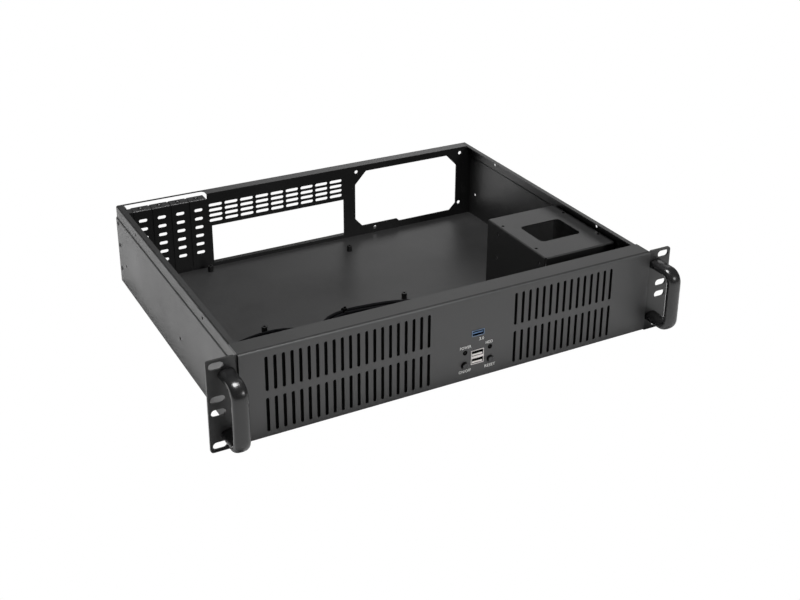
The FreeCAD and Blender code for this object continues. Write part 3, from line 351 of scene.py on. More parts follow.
def blend_values(mask, low, high):
    """Value that goes from low to high with the mask."""
    return (low + mask * (high - low)).clamp()


def bump(start, height, strength, distance):
    """Surface normal from a height."""
    return start.node("ShaderNodeBump", {"Height": height, "Strength": strength,
                                         "Distance": distance})


print("helpers for finishes ready")

# %% [markdown]
# The front's coat has light and shade painted into it. A painted highlight runs along
# the top bend, most at the left, a fine line of painted shade lies in the seam just
# behind the bend, the top face is painted darker than the front face as shade, and the
# slots' cut walls are painted black as shade. The drive cage's legs are painted darker
# than its top, as shade. A mask drawn in an image could show that, but the marks follow
# the folds, so each is made from the places where the piece's own coordinates pass two
# heights or depths.

# %% Painted light in the coat
X, Y, Z = 0, 1, 2
TOP_FACE = (88.2, 88.4)
BEND_FOOT, BEND_CREST = (87.0, 87.3), (88.1, 88.3)
BEND_BACK = (-177.2, -176.8)
BEND_FADE = (-70.0, 50.0)
SEAM_FRONT, SEAM_BACK = (-177.1, -176.8), (-174.6, -174.2)
SLOT_WALLS = (-177.97, -177.8)
SLOTS_FOOT, SLOTS_HEAD = (5.0, 5.5), (85.5, 86.0)
CAGE_TOP = (77.2, 78.2)
# Colours of painted light: shade on the top face, the seam, the slot walls and the cage's legs,
# and a highlight on the bend.
TOP_PAINTED_SHADE, BEND_PAINTED_HIGHLIGHT, SEAM_PAINTED_SHADE, SLOT_WALL_PAINTED_SHADE, LEG_PAINTED_SHADE = 0.014, 0.065, 0.002, 0.001, 0.002


def past(start, axis, reach):
    """0 to 1 as one of the piece's own coordinates crosses a reach, in millimetres."""
    low, high = reach
    place = start.node("ShaderNodeSeparateXYZ", {"Vector": start}, output=axis)
    return place.node("ShaderNodeMapRange", {"Value": place, "From Min": low * MM,
                                             "From Max": high * MM},
                      interpolation_type="SMOOTHSTEP")


def short_of(start, axis, reach):
    """1 to 0 as one of the piece's own coordinates crosses a reach."""
    return 1.0 - past(start, axis, reach)


def bezel_painted_light(start, colour):
    """The bezel's coat with painted shade and a painted highlight, and the mask of the seam's
    painted shade, which is dull.
    """
    # The top face is painted darker than the front face, as shade.
    top = past(start, Z, TOP_FACE)
    # A painted highlight along the top bend, fading out to the right.
    bend = (past(start, Z, BEND_FOOT) * short_of(start, Z, BEND_CREST)
            * short_of(start, Y, BEND_BACK) * short_of(start, X, BEND_FADE))
    # Painted shade: a fine dark line in the seam just behind the bend, duller too.
    seam_shade = top * past(start, Y, SEAM_FRONT) * short_of(start, Y, SEAM_BACK)
    # The slots' cut walls are painted black, as shade.
    walls = (past(start, Y, SLOT_WALLS) * past(start, Z, SLOTS_FOOT)
             * short_of(start, Z, SLOTS_HEAD))
    for mask, shade in ((top, TOP_PAINTED_SHADE), (bend, BEND_PAINTED_HIGHLIGHT), (seam_shade, SEAM_PAINTED_SHADE),
                        (walls, SLOT_WALL_PAINTED_SHADE)):
        colour = blend_colours(start, mask, colour, grey(shade))
    return colour, seam_shade


def cage_painted_shade(start, colour):
    """The cage's coat with painted shade below its top plate, where it is also duller."""
    # The legs below the top plate are painted darker, as shade.
    legs = short_of(start, Z, CAGE_TOP)
    return blend_colours(start, legs, colour, grey(LEG_PAINTED_SHADE)), legs


print("marks ready")

# %% [markdown]
# The case is steel with a black powder coat. The powder melts to a fine, even orange
# peel of bumps under a millimetre across, with a satin gloss. Handling leaves faint
# smudges that change the gloss a little, and a trace of dust settles in it. Noise at
# three scales makes these. The bezel's coat and the rear rim's coat are painted paler
# than the rest, as light on them.

# %% Powder coat
PEEL_SCALE, SMUDGE_SCALE, DUST_SCALE = 1500.0, 11.0, 420.0
SMUDGE_STOPS = [(0.3, 0.0), (0.75, 1.0)]
DUST_STOPS = [(0.62, 0.0), (0.74, 1.0)]
DARK_TINT, PALE_TINT = (0.88, 0.88, 0.89), (1.22, 1.22, 1.23)
SMUDGE_TONE, DUST_TONE = 0.7, 0.35
SMUDGE_DULL, DUST_DULL, MARK_DULL = 0.09, 0.06, 0.4
GLOSS_ALLOWANCE = 0.05


def powder_coat(name, shade, roughness, marks=None):
    """Satin black powder coat on steel."""
    material, start, shader = new_material(name, grey(shade), roughness)
    peel = noise(start, PEEL_SCALE, detail=2.0)
    smudge = noise(start, SMUDGE_SCALE, detail=4.0, roughness=0.6)
    dust = noise(start, DUST_SCALE, detail=5.0, roughness=0.65)
    smudge = smudge.node("ShaderNodeValToRGB", {"Fac": smudge}, stops=SMUDGE_STOPS)
    dust = dust.node("ShaderNodeValToRGB", {"Fac": dust}, stops=DUST_STOPS)
    dark, pale = ([shade * part for part in tint] for tint in (DARK_TINT, PALE_TINT))
    colour = blend_colours(start, (smudge * SMUDGE_TONE + dust * DUST_TONE).clamp(), dark, pale)
    gloss = roughness - GLOSS_ALLOWANCE + smudge * SMUDGE_DULL + dust * DUST_DULL
    if marks:
        colour, dull = marks(start, colour)
        gloss = gloss + dull * MARK_DULL
    link(colour, shader, "Base Color")
    link(gloss.clamp(), shader, "Roughness")
    link(bump(start, peel, strength=0.22, distance=0.2 * MM), shader, "Normal")
    return material


# The bezel's and the rear rim's coats are the case's coat painted paler, as light on them.
coat_case = powder_coat("case_powder_coat", shade=0.014, roughness=0.42)
coat_front_painted_light = powder_coat("front_powder_coat_painted_light", shade=0.041, roughness=0.44, marks=bezel_painted_light)
coat_plate = powder_coat("plate_powder_coat", shade=0.014, roughness=0.42)
coat_cage = powder_coat("cage_powder_coat", shade=0.014, roughness=0.42, marks=cage_painted_shade)
coat_rim_painted_light = powder_coat("rim_powder_coat_painted_light", shade=0.034, roughness=0.42)
print("front coat", len(coat_front_painted_light.node_tree.nodes), "nodes")

# %% [markdown]
# The bow handles are cast and painted: smoother than the powder coat, with a gloss
# that shows bright spots on each bend. One noise drives both the colour and the
# gloss, because the paint is worn where it is pale.

# %% Handle paint
def handle_paint():
    """Semi-gloss black paint on a casting."""
    material, start, shader = new_material("handle_paint", grey(0.01), roughness=0.25)
    wear = noise(start, scale=60.0, detail=5.0, roughness=0.6)
    ripple = noise(start, scale=900.0, detail=2.0)
    link(blend_colours(start, wear, (0.007, 0.007, 0.0075), grey(0.015)), shader, "Base Color")
    link(blend_values(wear, 0.19, 0.31), shader, "Roughness")
    link(bump(start, ripple, strength=0.12, distance=0.2 * MM), shader, "Normal")
    return material


paint = handle_paint()
print(paint.name)

# %% [markdown]
# Screws, studs, spacers and contacts are plated steel or brass, some bright and some
# blackened. A metal's colour is the colour of its reflections, so one recipe serves
# for all: a shade, a roughness and a faint grain in both.

# %% Plated metals
def plated_metal(name, shade, roughness):
    """Plated metal with a faint grain."""
    material, start, shader = new_material(name, (shade, shade, shade * 1.02), roughness,
                                           metallic=1.0)
    grain = noise(start, scale=700.0, detail=3.0, roughness=0.6)
    link(blend_colours(start, grain, grey(shade * 0.85), grey(shade * 1.1)), shader,
         "Base Color")
    link(blend_values(grain, roughness - 0.06, roughness + 0.08), shader, "Roughness")
    return material


zinc = plated_metal("zinc_plate", shade=0.55, roughness=0.34)
standoff_steel = plated_metal("standoff_steel", shade=0.06, roughness=0.4)
black_screw = plated_metal("black_screw", shade=0.05, roughness=0.42)
# The contacts' brass is darkened as painted shade inside the port mouths.
contact_brass_painted_shade = plated_metal("contact_brass_painted_shade", shade=0.1, roughness=0.4)
print(zinc.name, standoff_steel.name, black_screw.name, contact_brass_painted_shade.name)

# %% [markdown]
# The ports, plugs, lamps, leads and printed words are plastic, resin or ink. One
# recipe serves for all of these too: a colour, a roughness, a fine moulded texture
# and slightly uneven gloss. What lies in deep shade has its reflections turned down.

# %% Plastics
def plastic(name, colour, roughness, depth=0.1, specular=0.5):
    """Moulded plastic with a fine texture and slightly uneven gloss."""
    material, start, shader = new_material(name, colour, roughness, specular=specular)
    cloud = noise(start, scale=90.0)
    texture = noise(start, scale=800.0, detail=2.0)
    low = [part * 0.88 for part in colour]
    high = [min(1.0, part * 1.12) for part in colour]
    link(blend_colours(start, cloud, low, high), shader, "Base Color")
    link(blend_values(cloud, roughness - 0.05, roughness + 0.05), shader, "Roughness")
    link(bump(start, texture, strength=depth, distance=0.1 * MM), shader, "Normal")
    return material


blue = plastic("blue_plastic", (0.05, 0.13, 0.27), 0.4)
rim_blue = plastic("rim_blue", (0.13, 0.2, 0.31), 0.4)
white = plastic("white_plastic", (0.8, 0.76, 0.74), 0.4)
black = plastic("black_plastic", (0.02, 0.02, 0.021), 0.42)
# Near black: the lamps' black collars, and painted shade in the port mouths and plug sockets.
black_and_painted_shade = plastic("black_and_painted_shade", grey(0.0015), 0.5, specular=0.03)
lens = plastic("lamp_lens", (0.003, 0.004, 0.003), 0.1, depth=0.02, specular=0.16)
jacket = plastic("lead_jacket", (0.003, 0.003, 0.0035), 0.5, specular=0.03)
tie_nylon = plastic("tie_nylon", grey(0.004), 0.6, specular=0.05)
solder_mask = plastic("solder_mask", (0.012, 0.09, 0.04), 0.3)
ink = plastic("label_ink", (0.8, 0.8, 0.78), 0.6)
print("materials so far", len(bpy.data.materials))

# %% [markdown]
# Two finishes need more than that. The filter mats are open foam, which a web of fine
# cells shows. A button cap has a satin face, but its side lies in the shade of its
# hole, so the colour turns nearly black just behind the face.

# %% Filter foam and button caps
CAP_EDGE = (-180.3, -179.9)


def foam_mat():
    """Open black foam: a web of fine cells."""
    material, start, shader = new_material("filter_foam", grey(0.002), roughness=0.95,
                                           specular=0.02)
    cells = start.node("ShaderNodeTexVoronoi", {"Vector": start, "Scale": 900.0})
    link(blend_colours(start, cells, grey(0.001), grey(0.004)), shader, "Base Color")
    link(bump(start, cells, strength=0.5, distance=0.4 * MM), shader, "Normal")
    return material


def button_plastic():
    """Button cap: a satin face, and side walls too dark to see into."""
    material, start, shader = new_material("button_cap", (0.034, 0.034, 0.035), roughness=0.3,
                                           specular=0.35)
    walls = past(start, Y, CAP_EDGE)
    link(blend_colours(start, walls, (0.036, 0.036, 0.037), grey(0.002)), shader, "Base Color")
    link(blend_values(noise(start, scale=90.0), 0.26, 0.36), shader, "Roughness")
    return material


foam = foam_mat()
button_cap = button_plastic()
print(foam.name, button_cap.name)

# %% [markdown]
# Now every solid that comes from the CAD model gets its finish. A table from finish to
# names is easier to read, and to check against the real case, than a line for each.

# %% Finishes on the carried-over solids
FINISHES = {
    coat_case: ("chassis_tray", "rear_panel", "supply_frame", "rear_floor_flange",
                "rear_side_flange_left", "rear_side_flange_right", "card_ledge",
                "wall_rivets", "slot_cover_1", "slot_cover_2", "slot_cover_3",
                "slot_cover_4"),
    coat_cage: ("drive_cage",),
    coat_rim_painted_light: ("rear_top_flange",),
    coat_front_painted_light: ("front_bezel",),
    coat_plate: ("front_plate",),
    paint: ("handle_left", "handle_right"),
    black_screw: ("slot_cover_screws",),
    zinc: ("bezel_studs", "bezel_nuts", "handle_screws", "cage_screws",
           "port_screws", "port_spacers"),
    standoff_steel: ("board_standoffs",),
    blue: ("usb3_shell", "usb3_tongue"),
    white: ("usb2_shell", "usb2_tongues"),
    lens: ("power_lamp", "drive_lamp"),
    button_cap: ("power_button", "reset_button"),
    black: ("button_switches", "board_sockets", "panel_leads_plug", "usb3_lead_plug",
            "usb2_lead_plug"),
    tie_nylon: ("lead_tie",),
    solder_mask: ("port_board",),
    jacket: ("panel_leads", "usb3_lead", "usb2_lead"),
    foam: ("filter_mat_left", "filter_mat_right"),
}


def finish(piece, material):
    """Gives a piece one material."""
    piece.data.materials.clear()
    piece.data.materials.append(material)


for material, names in FINISHES.items():
    for name in names:
        finish(NODES[name], material)
for cable in cables.values():
    finish(cable, jacket)
print("finishes on", sum(len(names) for names in FINISHES.values()), "nodes")

# %% [markdown]
# Screws and rivets repeat all over the case, so they are made once and placed by
# Geometry Nodes. The tree's first part is one round head: a short cylinder with a
# cone on it, and a cross recess cut in it where the fastener has one.

# %% One fastener's head
HEAD_SIDES = 28
SKIRT_SHARE, CROWN_SHARE, CROWN_TOP = 0.4, 0.6, 0.62
RECESS_REACH, RECESS_DEPTH = 1.05, 0.9


def raised(shape, height):
    """A shape moved up."""
    return shape.node("GeometryNodeTransform", {
        "Geometry": shape,
        "Translation": shape.node("ShaderNodeCombineXYZ", {"Z": height})})


def head_shape(tree, radius, height, recess):
    """Skirt, crown and cross recess of one head that stands on the origin."""
    skirt = raised(radius.node("GeometryNodeMeshCylinder", {
        "Vertices": HEAD_SIDES, "Radius": radius, "Depth": height * SKIRT_SHARE}),
        height * (SKIRT_SHARE / 2))
    crown = raised(radius.node("GeometryNodeMeshCone", {
        "Vertices": HEAD_SIDES, "Radius Top": radius * CROWN_TOP, "Radius Bottom": radius,
        "Depth": height * CROWN_SHARE}), height * SKIRT_SHARE)
    cut = tree.nodes.new("GeometryNodeMeshBoolean")
    cut.operation = "DIFFERENCE"
    tree.links.new(crown.socket, cut.inputs[0])
    for long, wide in ((radius * RECESS_REACH, recess), (recess, radius * RECESS_REACH)):
        size = radius.node("ShaderNodeCombineXYZ",
                           {"X": long, "Y": wide, "Z": height * RECESS_DEPTH})
        bar = raised(radius.node("GeometryNodeMeshCube", {"Size": size}), height)
        tree.links.new(bar.socket, cut.inputs[1])
    join = tree.nodes.new("GeometryNodeJoinGeometry")
    for part in (skirt, Wire(tree, cut.outputs[0])):
        tree.links.new(part.socket, join.inputs[0])
    return Wire(tree, join.outputs[0])


print("fastener's head ready")

# %% [markdown]
# The rest of the tree puts a copy of the head on every vertex of a small mesh of
# places, upright along one axis and each turned a little differently, as real screws
# end up. Realize Instances and Set Material close it.

# %% Fastener tree
TREE_INPUTS = (("Places", "Geometry"), ("Head Radius", "Float"), ("Head Height", "Float"),
               ("Recess Width", "Float"), ("Axis", "Vector"), ("Finish", "Material"))
RANDOM_LOW, RANDOM_HIGH, RANDOM_VALUE = 2, 3, 1


def fastener_tree():
    """Tree that puts a fastener's head on each vertex, along one axis."""
    tree = bpy.data.node_groups.new("fastener_heads", "GeometryNodeTree")
    for title, kind in TREE_INPUTS:
        tree.interface.new_socket(title, in_out="INPUT", socket_type="NodeSocket" + kind)
    tree.interface.new_socket("Heads", in_out="OUTPUT", socket_type="NodeSocketGeometry")
    source = tree.nodes.new("NodeGroupInput")
    places, radius, height, recess, axis, coat = (
        Wire(tree, source.outputs[title]) for title, _ in TREE_INPUTS)
    head = head_shape(tree, radius, height, recess)
    upright = places.node("FunctionNodeAlignRotationToVector", {"Vector": axis}, axis="Z")
    spin = places.node("FunctionNodeRandomValue", {RANDOM_LOW: 0.0, RANDOM_HIGH: math.pi},
                       output=RANDOM_VALUE)
    twist = places.node("FunctionNodeAxisAngleToRotation",
                        {"Axis": (0.0, 0.0, 1.0), "Angle": spin})
    rotation = places.node("FunctionNodeRotateRotation",
                           {"Rotation": upright, "Rotate By": twist}, rotation_space="LOCAL")
    heads = places.node("GeometryNodeInstanceOnPoints", {
        "Points": places, "Instance": head, "Rotation": rotation})
    real = places.node("GeometryNodeRealizeInstances", {"Geometry": heads})
    done = places.node("GeometryNodeSetMaterial", {"Geometry": real, "Material": coat})
    sink = tree.nodes.new("NodeGroupOutput")
    tree.links.new(done.socket, sink.inputs["Heads"])
    return tree


heads_tree = fastener_tree()
print("fastener tree", len(heads_tree.nodes), "nodes")

# %% [markdown]
# A modifier runs the tree on the mesh of places, and its result is turned into a plain
# mesh, which is a piece like any other. From here on, the sizes and places of pieces
# are in millimetres, and those of the floor and the lamps in metres.

# %% From places to pieces
def new_piece(name, mesh, body=CASE):
    """Links a mesh as a piece that rides on a body."""
    piece = new_object(name, mesh)
    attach(piece, body)
    return piece


def fasteners(places, head, axis, coat):
    """Plain mesh of the tree's heads, one on each place."""
    radius, height, recess = head
    mesh = bpy.data.meshes.new("places")
    mesh.from_pydata([Vector(place) * MM for place in places], [], [])
    seed = new_object("seed", mesh)
    modifier = seed.modifiers.new("heads", "NODES")
    modifier.node_group = heads_tree
    values = {"Head Radius": radius * MM, "Head Height": height * MM,
              "Recess Width": recess * MM, "Axis": axis, "Finish": coat}
    for item in heads_tree.interface.items_tree:
        if item.name in values:
            modifier[item.identifier] = values[item.name]
    graph = bpy.context.evaluated_depsgraph_get()
    plain = bpy.data.meshes.new_from_object(seed.evaluated_get(graph))
    bpy.data.objects.remove(seed)
    return plain


def joined(meshes, name):
    """One mesh made of several."""
    whole = bmesh.new()
    for mesh in meshes:
        whole.from_mesh(mesh)
    result = bpy.data.meshes.new(name)
    whole.to_mesh(result)
    whole.free()
    for material in meshes[0].materials:
        result.materials.append(material)
    return result


print("fasteners ready")

# %% [markdown]
# Four kinds of screw show from above or behind: those of the slot covers, the drive
# cage, the port board and the handles. They are where the CAD model's screws are, and
# take their place. A head is a radius, a height and the width of its recess, and a
# row says where the screws are, their head, the way they face, finish and slot.

# %% Screws
SMALL_HEAD, HANDLE_HEAD = (2.6, 1.5, 0.75), (4.4, 2.6, 1.2)
UP, BACK = (0.0, 0.0, 1.0), (0.0, 1.0, 0.0)
SLOT_X = (-129.2, -149.52, -169.84, -190.16)
PORT_X = 17.5
HANDLE_X, HANDLE_FEET = 223.8, (15.05, 73.05)
SCREWS = {
    "slot_cover_screws": ([(x, 168.8, 82.8) for x in SLOT_X],
                          SMALL_HEAD, UP, black_screw, "black_rivet"),
    "cage_screws": ([(x, y, 2.0) for x in (121.5, 206.4) for y in (-108.5, -33.0)],
                    SMALL_HEAD, UP, zinc, "zinc_steel"),
    "port_screws": ([(PORT_X + dx, -163.4, 35.0 + dz) for dx in (-24.5, 24.5)
                     for dz in (-20.5, 20.5)],
                    SMALL_HEAD, BACK, zinc, "zinc_steel"),
    "handle_screws": ([(x, -173.0, z) for x in (-HANDLE_X, HANDLE_X) for z in HANDLE_FEET],
                      HANDLE_HEAD, BACK, zinc, "zinc_steel"),
}
for node, (places, head, axis, coat, slot) in SCREWS.items():
    piece = new_piece(node + "_heads", fasteners(places, head, axis, coat))
    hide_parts(node)
    print(piece.name, len(piece.data.polygons))

# %% [markdown]
# Rivets hold each side wall to a flange of the rear wall and to a tab behind the
# front plate. They are painted with the case, low and without a recess, and point left
# on one side and right on the other, so the two rows are made apart and joined.

# %% Rivets
RIVET_HEAD = (2.4, 0.7, 0.0)
WALL_X = 215.0
RIVET_PLACES = [(169.25, 18.0), (169.25, 45.0), (169.25, 70.0), (-166.0, 22.0), (-166.0, 60.0)]
rivets = [fasteners([(side * WALL_X, y, z) for y, z in RIVET_PLACES], RIVET_HEAD,
                    (float(side), 0.0, 0.0), coat_case) for side in (-1, 1)]
piece = new_piece("wall_rivet_heads", joined(rivets, "wall_rivet_heads"))
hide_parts("wall_rivets")
print(piece.name, len(piece.data.polygons))

# %% [markdown]
# The bow handles are rounder than their solids. Each is an oval section swept along a
# bow: out of the ear, round a bend, down the bar, round a bend and back. A curve with
# a bevel object could do that too. Rings that are worked out one by one keep the
# section square to the bow in the bends, and let it flare a little at each foot.
# First comes the bow itself.

# %% The handle's bow
BAR_Y, BOW_RADIUS = -204.4, 9.6
QUARTER, BEND_STEP = 90, 6
FLARE = ((0.0, 1.05), (1.2, 1.05), (2.2, 1.02), (3.2, 1.0))
ARM_PARTS, BAR_PARTS = 6, 8


def bow_bend(centre_y, centre_z, first):
    """Quarter circle of rings that starts at an angle."""
    path = []
    for angle in range(first, first + QUARTER + 1, BEND_STEP):
        c, s = math.cos(math.radians(angle)), math.sin(math.radians(angle))
        path.append((centre_y + BOW_RADIUS * c, centre_z + BOW_RADIUS * s, c, s, 1.0))
    return path


def bow_path():
    """Centre line as (y, z, outward y, outward z, scale of the section)."""
    low, high = HANDLE_FEET
    centre = BAR_Y + BOW_RADIUS
    straight = EAR_FACE_Y - FLARE[-1][0]
    arm = [(EAR_FACE_Y - out, scale) for out, scale in FLARE]
    arm += [(straight + (centre - straight) * i / ARM_PARTS, 1.0) for i in range(1, ARM_PARTS)]
    bar = high - low - 2 * BOW_RADIUS
    path = [(y, high, 0.0, 1.0, scale) for y, scale in arm]
    path += bow_bend(centre, high - BOW_RADIUS, QUARTER)
    path += [(BAR_Y, high - BOW_RADIUS - bar * i / BAR_PARTS, -1.0, 0.0, 1.0)
             for i in range(1, BAR_PARTS)]
    path += bow_bend(centre, low + BOW_RADIUS, 2 * QUARTER)
    return path + [(y, low, 0.0, -1.0, scale) for y, scale in reversed(arm)]


print("bow of", len(bow_path()), "rings")

# %% [markdown]
# The section is a superellipse, which is fuller than an ellipse, as a cast bar is.
# Each ring of it is joined to the next by a band of faces, and the two ends are
# closed.

# %% Handles
HANDLE_HALF = (7.3, 4.6)
SECTION_STEPS, FULLNESS = 44, 2.4


def finished_mesh(name, mesh, material):
    """Plain mesh of a bmesh, with one material."""
    data = bpy.data.meshes.new(name)
    mesh.to_mesh(data)
    mesh.free()
    data.materials.append(material)
    return data


def join_rings(mesh, ring, following, smooth):
    """Adds a band of faces between two closed rings of vertices."""
    for i in range(len(ring)):
        j = (i + 1) % len(ring)
        mesh.faces.new((ring[i], ring[j], following[j], following[i])).smooth = smooth


def bow_handle(name, middle):
    """Oval section swept along the bow."""
    mesh = bmesh.new()
    rings = []
    for y, z, out_y, out_z, scale in bow_path():
        ring = []
        for i in range(SECTION_STEPS):
            turn = math.tau * i / SECTION_STEPS
            across, outward = (
                half * scale * math.copysign(abs(part) ** (2.0 / FULLNESS), part)
                for half, part in zip(HANDLE_HALF, (math.cos(turn), math.sin(turn))))
            ring.append(mesh.verts.new(Vector((middle + across, y + outward * out_y,
                                               z + outward * out_z)) * MM))
        rings.append(ring)
    for ring, following in zip(rings, rings[1:]):
        join_rings(mesh, ring, following, smooth=True)
    mesh.faces.new(rings[0])
    mesh.faces.new(rings[-1])
    bmesh.ops.recalc_face_normals(mesh, faces=mesh.faces)
    return new_piece(name, finished_mesh(name, mesh, paint))


for side, node in ((-1, "handle_left"), (1, "handle_right")):
    piece = bow_handle(node + "_bow", side * HANDLE_X)
    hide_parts(node)
    print(piece.name, len(piece.data.polygons), "faces")

# %% [markdown]
# Ports, plugs and the tie's head are made of boxes. One helper adds a box to a mesh,
# and one makes a piece of several, which may be bevelled and moved to a place.

# %% Boxes
def add_box(mesh, x0, x1, y0, y1, z0, z1):
    """Adds a box to a bmesh."""
    for vertex in bmesh.ops.create_cube(mesh, size=1.0)["verts"]:
        vertex.co = Vector((x0 + (vertex.co.x + 0.5) * (x1 - x0),
                            y0 + (vertex.co.y + 0.5) * (y1 - y0),
                            z0 + (vertex.co.z + 0.5) * (z1 - z0))) * MM


def boxes_piece(name, boxes, material, place=None, bevel=0.0):
    """Piece made of boxes."""
    mesh = bmesh.new()
    for box in boxes:
        add_box(mesh, *box)
    if bevel:
        bmesh.ops.bevel(mesh, geom=list(mesh.edges), offset=bevel * MM, segments=2,
                        affect="EDGES", profile=0.5)
        bmesh.ops.recalc_face_normals(mesh, faces=mesh.faces)
    if place is not None:
        mesh.transform(place)
    return new_piece(name, finished_mesh(name, mesh, material))


print("boxes ready")

# %% [markdown]
# Each front port is a moulded block with a mouth. Inside is a thin sleeve for the metal
# shell, coloured nearly black as painted shade, and a tongue along the mouth's lower
# half, so that a dark slit shows above it. A thin plate of painted shade and four
# contacts, darkened as painted shade, lie on the tongue, and the upper port's face has a
# thin paler rim. A port's row ends with the heights of its tongue's foot and head above
# the mouth's lower edge.

# %% Port mouths
BEZEL_Y = -178.0
PORT_FACE_Y = BEZEL_Y - 0.2
SLEEVE_FRONT, SLEEVE_BACK = BEZEL_Y + 0.15, BEZEL_Y + 9.0
SLEEVE_HALF, SLEEVE_WALL, SLEEVE_END = 6.0, 0.18, 1.0
TONGUE_HALF, TONGUE_FRONT, TONGUE_BACK = 5.6, BEZEL_Y + 0.5, BEZEL_Y + 7.9
COVER_FRONT = TONGUE_FRONT + 0.02
CONTACT_FRONT, CONTACT_BACK = BEZEL_Y + 2.6, BEZEL_Y + 7.0
CONTACT_COUNT, CONTACT_PITCH, CONTACT_HALF = 4, 2.3, 0.4
FOIL = 0.06
RIM_HALF, RIM_LOW, RIM_HIGH, RIM_BAR, RIM_PROUD = 6.6, 47.2, 53.2, 0.6, 0.15
MOUTHS = {"usb3": [(47.8, 52.6)], "usb2": [(18.4, 23.9), (26.3, 31.8)]}
PORTS = (("usb3", blue, "blue_plastic", "usb3_tongue", 1.6, 3.1),
         ("usb2", white, "white_plastic", "usb2_tongues", 0.4, 2.3))


def opening_walls(half, front, back, low, high, wall):
    """Four walls round an opening that is centred on the ports."""
    left, right = PORT_X - half, PORT_X + half
    return [(left, right, front, back, low, low + wall),
            (left, right, front, back, high - wall, high),
            (left, left + wall, front, back, low + wall, high - wall),
            (right - wall, right, front, back, low + wall, high - wall)]


def mouth_sleeve(low, high):
    """Four thin walls and an end wall inside a mouth."""
    half = SLEEVE_HALF - SLEEVE_WALL
    walls = opening_walls(SLEEVE_HALF, SLEEVE_FRONT, SLEEVE_BACK, low, high, SLEEVE_WALL)
    return walls + [(PORT_X - half, PORT_X + half, SLEEVE_BACK - SLEEVE_END, SLEEVE_BACK,
                     low + SLEEVE_WALL, high - SLEEVE_WALL)]


def contact_strips(low, high):
    """Contacts side by side on a tongue."""
    middles = [PORT_X + (index - (CONTACT_COUNT - 1) / 2) * CONTACT_PITCH
               for index in range(CONTACT_COUNT)]
    return [(x - CONTACT_HALF, x + CONTACT_HALF, CONTACT_FRONT, CONTACT_BACK, low, high)
            for x in middles]


for port, material, slot, tongues, foot, head in PORTS:
    shade_sleeves, plates, shade_covers, strips = [], [], [], []
    left, right = PORT_X - TONGUE_HALF, PORT_X + TONGUE_HALF
    for low, high in MOUTHS[port]:
        top = low + head
        shade_sleeves += mouth_sleeve(low, high)
        plates.append((left, right, TONGUE_FRONT, TONGUE_BACK, low + foot, top))
        shade_covers.append((left, right, COVER_FRONT, TONGUE_BACK, top, top + FOIL))
        strips += contact_strips(top + FOIL, top + 2 * FOIL)
    # The sleeves and the tongues' cover plates are near-black: painted shade inside the mouths.
    boxes_piece(port + "_shade_sleeves", shade_sleeves + shade_covers, black_and_painted_shade)
    piece = boxes_piece(port + "_plates", plates, material)
    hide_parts(tongues)
    boxes_piece(port + "_contacts", strips, contact_brass_painted_shade)
    print(port, "mouths", len(plates))
boxes_piece("usb3_rim", opening_walls(RIM_HALF, PORT_FACE_Y - RIM_PROUD, PORT_FACE_Y, RIM_LOW,
                                      RIM_HIGH, RIM_BAR), rim_blue)

# %% [markdown]
# The two lamps are small dark domes set back in a black collar with a thin flange, so
# that they look like dark holes with one spark of light. The buttons are round caps
# that stand a few millimetres proud, with a rounded edge and a shallow dish for a
# fingertip. All four are turned shapes: a profile of radius and depth, swept round
# the Y axis.

# %% Lamps and buttons
TURNED_STEPS = 48
ON_AXIS = 0.001
LAMP_Z, LAMP_OFFSET = 32.2, 13.4
BUTTON_Z, BUTTON_OFFSET = 19.3, 13.8
DOME = [(0.0, -177.9), (0.6, -177.82), (1.1, -177.5), (1.4, -177.0), (1.5, -176.4),
        (1.5, -165.2), (0.0, -165.2)]
COLLAR = [(1.52, -177.2), (1.7, -178.1), (1.8, -178.16), (2.3, -178.16), (2.4, -178.1),
          (2.4, -178.02), (1.98, -178.0), (1.98, -175.6), (1.52, -175.6), (1.52, -177.2)]
CAP = [(0.0, -180.25), (1.6, -180.33), (2.4, -180.5), (2.75, -180.42), (2.95, -180.15),
       (3.0, -179.7), (3.0, -177.0), (3.0, -176.75), (4.2, -176.7), (4.2, -175.75),
       (1.7, -175.7), (1.7, -169.9), (0.0, -169.9)]


def turned(name, profile, x, z, material, body=CASE):
    """Solid of revolution about a line along Y; the profile runs from front to back."""
    mesh = bmesh.new()
    rings = []
    for radius, y in profile:
        turns = [math.tau * i / TURNED_STEPS for i in range(TURNED_STEPS)]
        if radius < ON_AXIS:
            turns = [0.0]
        rings.append([mesh.verts.new(Vector((x + radius * math.cos(turn), y,
                                             z + radius * math.sin(turn))) * MM)
                      for turn in turns])
    for front, back in zip(rings, rings[1:]):
        for i in range(TURNED_STEPS):
            j = (i + 1) % TURNED_STEPS
            corners = [front[i % len(front)], front[j % len(front)],
                       back[j % len(back)], back[i % len(back)]]
            mesh.faces.new(list(dict.fromkeys(corners))).smooth = True
    bmesh.ops.recalc_face_normals(mesh, faces=mesh.faces)
    return new_piece(name, finished_mesh(name, mesh, material), body)


for side, lamp, button in ((-1, "power_lamp", "power_button"),
                           (1, "drive_lamp", "reset_button")):
    lamp_x = PORT_X + side * LAMP_OFFSET
    dome = turned(lamp + "_dome", DOME, lamp_x, LAMP_Z, lens)
    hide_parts(lamp)
    turned(lamp + "_collar", COLLAR, lamp_x, LAMP_Z, black_and_painted_shade)
    cap = turned(button + "_cap", CAP, PORT_X + side * BUTTON_OFFSET, BUTTON_Z, button_cap,
                 button)
    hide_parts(button)
    print(lamp, button)

# %% [markdown]
# The tie is a flat band drawn tight round the two cables: two rounded outlines, one
# inside the other, joined into a ring. Its square head sits on top, and a cut tail
# sticks out of it.

